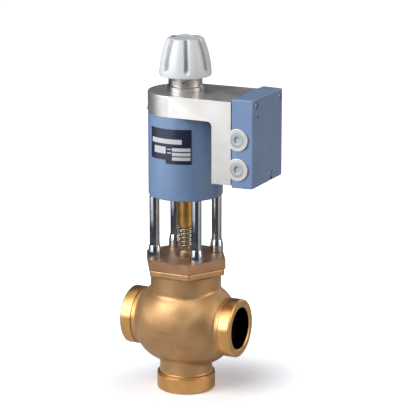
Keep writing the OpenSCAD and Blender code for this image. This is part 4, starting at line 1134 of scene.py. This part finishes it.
def add_knob():
    wall_top, inner_r, pin_bore, cap_r, cap_depth = 1.6, 22, 6.06, 10, 2
    inner_z = heights("press_spring")[1]
    flange_top, pin_top = inner_z + 3.1, heights("press_sleeve")[1] + 0.1
    outside = [(inner_r, knob_z), (knob_r - 1.2, knob_z), (knob_r - 0.5, knob_z + 0.25),
               (knob_r - 0.12, knob_z + 0.8), (knob_r, knob_z + 1.5)]
    outside += [(bell(z), z) for z in np.linspace(band_z - 0.5, knob_top - wall_top, 56)]
    rim = bell(knob_top - wall_top)
    for i in range(1, 7):
        out, up = polar(wall_top, 90 * i / 6)
        outside.append((rim - wall_top + out, knob_top - wall_top + up))
    outside += [(cap_r + 0.3, knob_top), (cap_r, knob_top - 0.3), (cap_r, knob_top - cap_depth)]
    outline = outside + [(8, knob_top - cap_depth), (8, pin_top), (pin_bore, pin_top), (pin_bore, flange_top),
                         (13.2, flange_top), (13.2, inner_z), (inner_r, inner_z)]
    points, faces = revolve(outline, 40 * flute_count)
    for i, p in enumerate(points):
        r = math.hypot(p[0], p[1])
        if r > cap_r + 1 and p[2] > band_z - 1:
            angle = math.degrees(math.atan2(p[1], p[0]))
            deep = flute_depth(angle, p[2], r) + petal_depth(angle, p[2])
            points[i] = (p[0] * (1 - deep / r), p[1] * (1 - deep / r), p[2])
    return piece("fluted_knob", points, faces, KNOB_GREY, 38)


def add_cap():
    r, z, face = 9.9, knob_top - 2, knob_top - 0.25
    outline = [(0, z), (r, z), (r, knob_top), (r - 1.4, knob_top), (r - 1.9, face), (0, face)]
    return turned_piece("knob_cap_disc", outline, [0, 0.2, 0.5, 0.2, 0.2, 0], KNOB_GREY)


def add_pointer():
    r, z = 2.1, knob_top - 1.9
    place = Matrix.Translation((-0.72 * knob_top_r, 0, 0))
    outline = [(0, z), (r, z), (r, knob_top + 0.2), (0, knob_top + 0.25)]
    return turned_piece("pointer_dot", outline, [0, 0, 0.2, 0], POINTER, steps=32, place=place)


def add_collar():
    z, top = bracket_top, heights("knob_collar")[1]
    foot, waist, rim, hole = 18.5, 17, 18.6, 8.2
    outline = [(hole, z), (foot, z), (foot, z + 4.4), (waist, z + 5.5), (waist, top - 5.4), (rim, top - 3.6),
               (rim, top), (14, top), (14, z + 10), (hole, z + 10)]
    return turned_piece("turned_collar", outline, [0.2, 0.4, 0.5, 0.6, 0.6, 0.5, 0.4, 0.3, 0.2, 0.2], STEEL)


install(add_collar(), "root", "knob_collar")
install(add_knob(), "knob_set", "hand_knob")
install(add_cap(), "knob_set", "knob_cap")
install(add_pointer(), "knob_set", "knob_pointer")


# Finishes of the inner pieces, which keep their CAD shape

INNER = {
    STEEL: ("lower_seat_ring", "upper_seat_ring", "guide_tube", "valve_plug", "plug_nut", "press_sleeve",
            "knob_screw", "manual_spindle"),
    BRASS: ("stem_guide", "seal_spacer", "board_spacers"),
    IRON: ("pole_piece", "yoke_plate", "upper_stop", "armature"),
    COPPER: ("magnet_coil", "sensor_coil"),
    RUBBER: ("bonnet_gasket", "stem_seals", "cover_gasket", "coil_lead", "plug_seals", "transformer"),
    WHITE: ("coil_former", "terminal_block"),
    BOARD: ("circuit_board",),
}


def dress_inner_nodes():
    for material, names in INNER.items():
        for name in names:
            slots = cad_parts[name].data.materials
            slots.clear()
            slots.append(material)


dress_inner_nodes()


# Studio

AIM_Z = 0.17


def add_world():
    """A dim white room for light, which shows as plain white to the camera and in mirrors."""
    world = bpy.data.worlds.new("studio")
    bpy.context.scene.world = world
    world.use_nodes = True
    tree = world.node_tree
    tree.nodes.clear()
    rays = add_node(tree, "ShaderNodeLightPath").outputs
    seen = rays["Is Camera Ray"]
    for ray in ("Is Glossy Ray", "Is Transmission Ray"):
        seen = add_node(tree, "ShaderNodeMath", {"operation": "MAXIMUM"}, {0: seen, 1: rays[ray]})
    light = add_node(tree, "ShaderNodeBackground", Color=linear("#f4f6ff"), Strength=0.12)
    white = add_node(tree, "ShaderNodeBackground", Color=linear("#ffffff"), Strength=1)
    shown = add_node(tree, "ShaderNodeMixShader", inputs={0: seen, 1: light, 2: white})
    add_node(tree, "ShaderNodeOutputWorld", Surface=shown)


def seen_from(view_angle, rise, distance):
    """A place round the object. The view angle is 0 towards the camera and grows to the picture's right."""
    flat, up = polar(distance, rise)
    return *polar(flat, view_angle + camera_angle), AIM_Z + up


def area_light(name, place, size, level, colour="#ffffff"):
    """A soft lamp aimed at the object. At level 1 a white face turned to it renders white."""
    data = bpy.data.lights.new(name, "AREA")
    data.shape = "RECTANGLE"
    data.size, data.size_y = size
    data.energy = level * (math.pi * place[2]) ** 2
    data.color = linear(colour)[:3]
    lamp = new_object(name, data)
    lamp.location = seen_from(*place)
    lamp.rotation_euler = (Vector((0, 0, AIM_Z)) - lamp.location).to_track_quat("-Z", "Y").to_euler()


def add_cards():
    """Dark cards round the table that only mirrors show, so that metal gets dark and bright bands.

    Each runs from one view angle to another, between two edges given as (distance, height).
    """
    far = 420
    cards = [(-30, 36, (far, 0), (far, 330)), (96, 118, (far, 0), (far, 500)), (150, 262, (far, 0), (far, 700)),
             (262, 330, (far, 0), (far, 90)), (216, 244, (190, 2), (400, 2))]
    points, faces = [], []
    for start, end, low, high in cards:
        steps = math.ceil((end - start) / 4)
        for i in range(steps + 1):
            a = start + (end - start) * i / steps + camera_angle
            points += [(*polar(r, a), z) for r, z in (low, high)]
            n = len(points)
            if i:
                faces.append((n - 4, n - 2, n - 1, n - 3))
    material, tree, _ = new_material("dark_card")
    dark = add_node(tree, "ShaderNodeEmission", Color=linear("#505358"), Strength=1)
    add_node(tree, "ShaderNodeOutputMaterial", Surface=dark)
    made = piece("dark_cards", points, faces, material, None, False)
    made.visible_camera = made.visible_diffuse = made.visible_shadow = made.visible_transmission = False


def add_floor():
    """A table top. The camera and mirrors see it white, and its glow to the camera is less near the shadow."""
    half = 6000
    material, tree, place = new_material("white_table")
    away = add_node(tree, "ShaderNodeVectorMath", {"operation": "LENGTH"}, Vector=place).outputs["Value"]
    rise = add_node(tree, "ShaderNodeMapRange", {"interpolation_type": "SMOOTHSTEP"}, Value=away, From_Min=0.05,
                    From_Max=0.18, To_Min=0.3, To_Max=1)
    glow = add_node(tree, "ShaderNodeEmission", Color=linear("#f6f8ff"), Strength=rise)
    white = add_node(tree, "ShaderNodeBsdfDiffuse", Color=linear("#f4f5f7"))
    grey = add_node(tree, "ShaderNodeBsdfDiffuse", Color=linear("#85878b"))
    rays = add_node(tree, "ShaderNodeLightPath").outputs
    bright = add_node(tree, "ShaderNodeAddShader", inputs={0: white, 1: glow})
    mirrored = add_node(tree, "ShaderNodeMixShader", inputs={0: rays["Is Glossy Ray"], 1: grey, 2: white})
    shown = add_node(tree, "ShaderNodeMixShader", inputs={0: rays["Is Camera Ray"], 1: mirrored, 2: bright})
    add_node(tree, "ShaderNodeOutputMaterial", Surface=shown)
    corners = [(-half, -half, 0), (half, -half, 0), (half, half, 0), (-half, half, 0)]
    floor = piece("table_top", corners, [(0, 1, 2, 3)], material, None, False)
    floor.location.z = -0.5 * MM


add_world()
add_floor()
add_cards()
area_light("key", (-62, 22, 2.2), (1.9, 1.4), 0.85)
area_light("top", (-36, 52, 2.2), (1.9, 1.4), 0.36)
area_light("fill", (76, 16, 1.8), (1.0, 1.0), 0.34, "#fff1e2")
bpy.context.scene.view_settings.view_transform = "Standard"
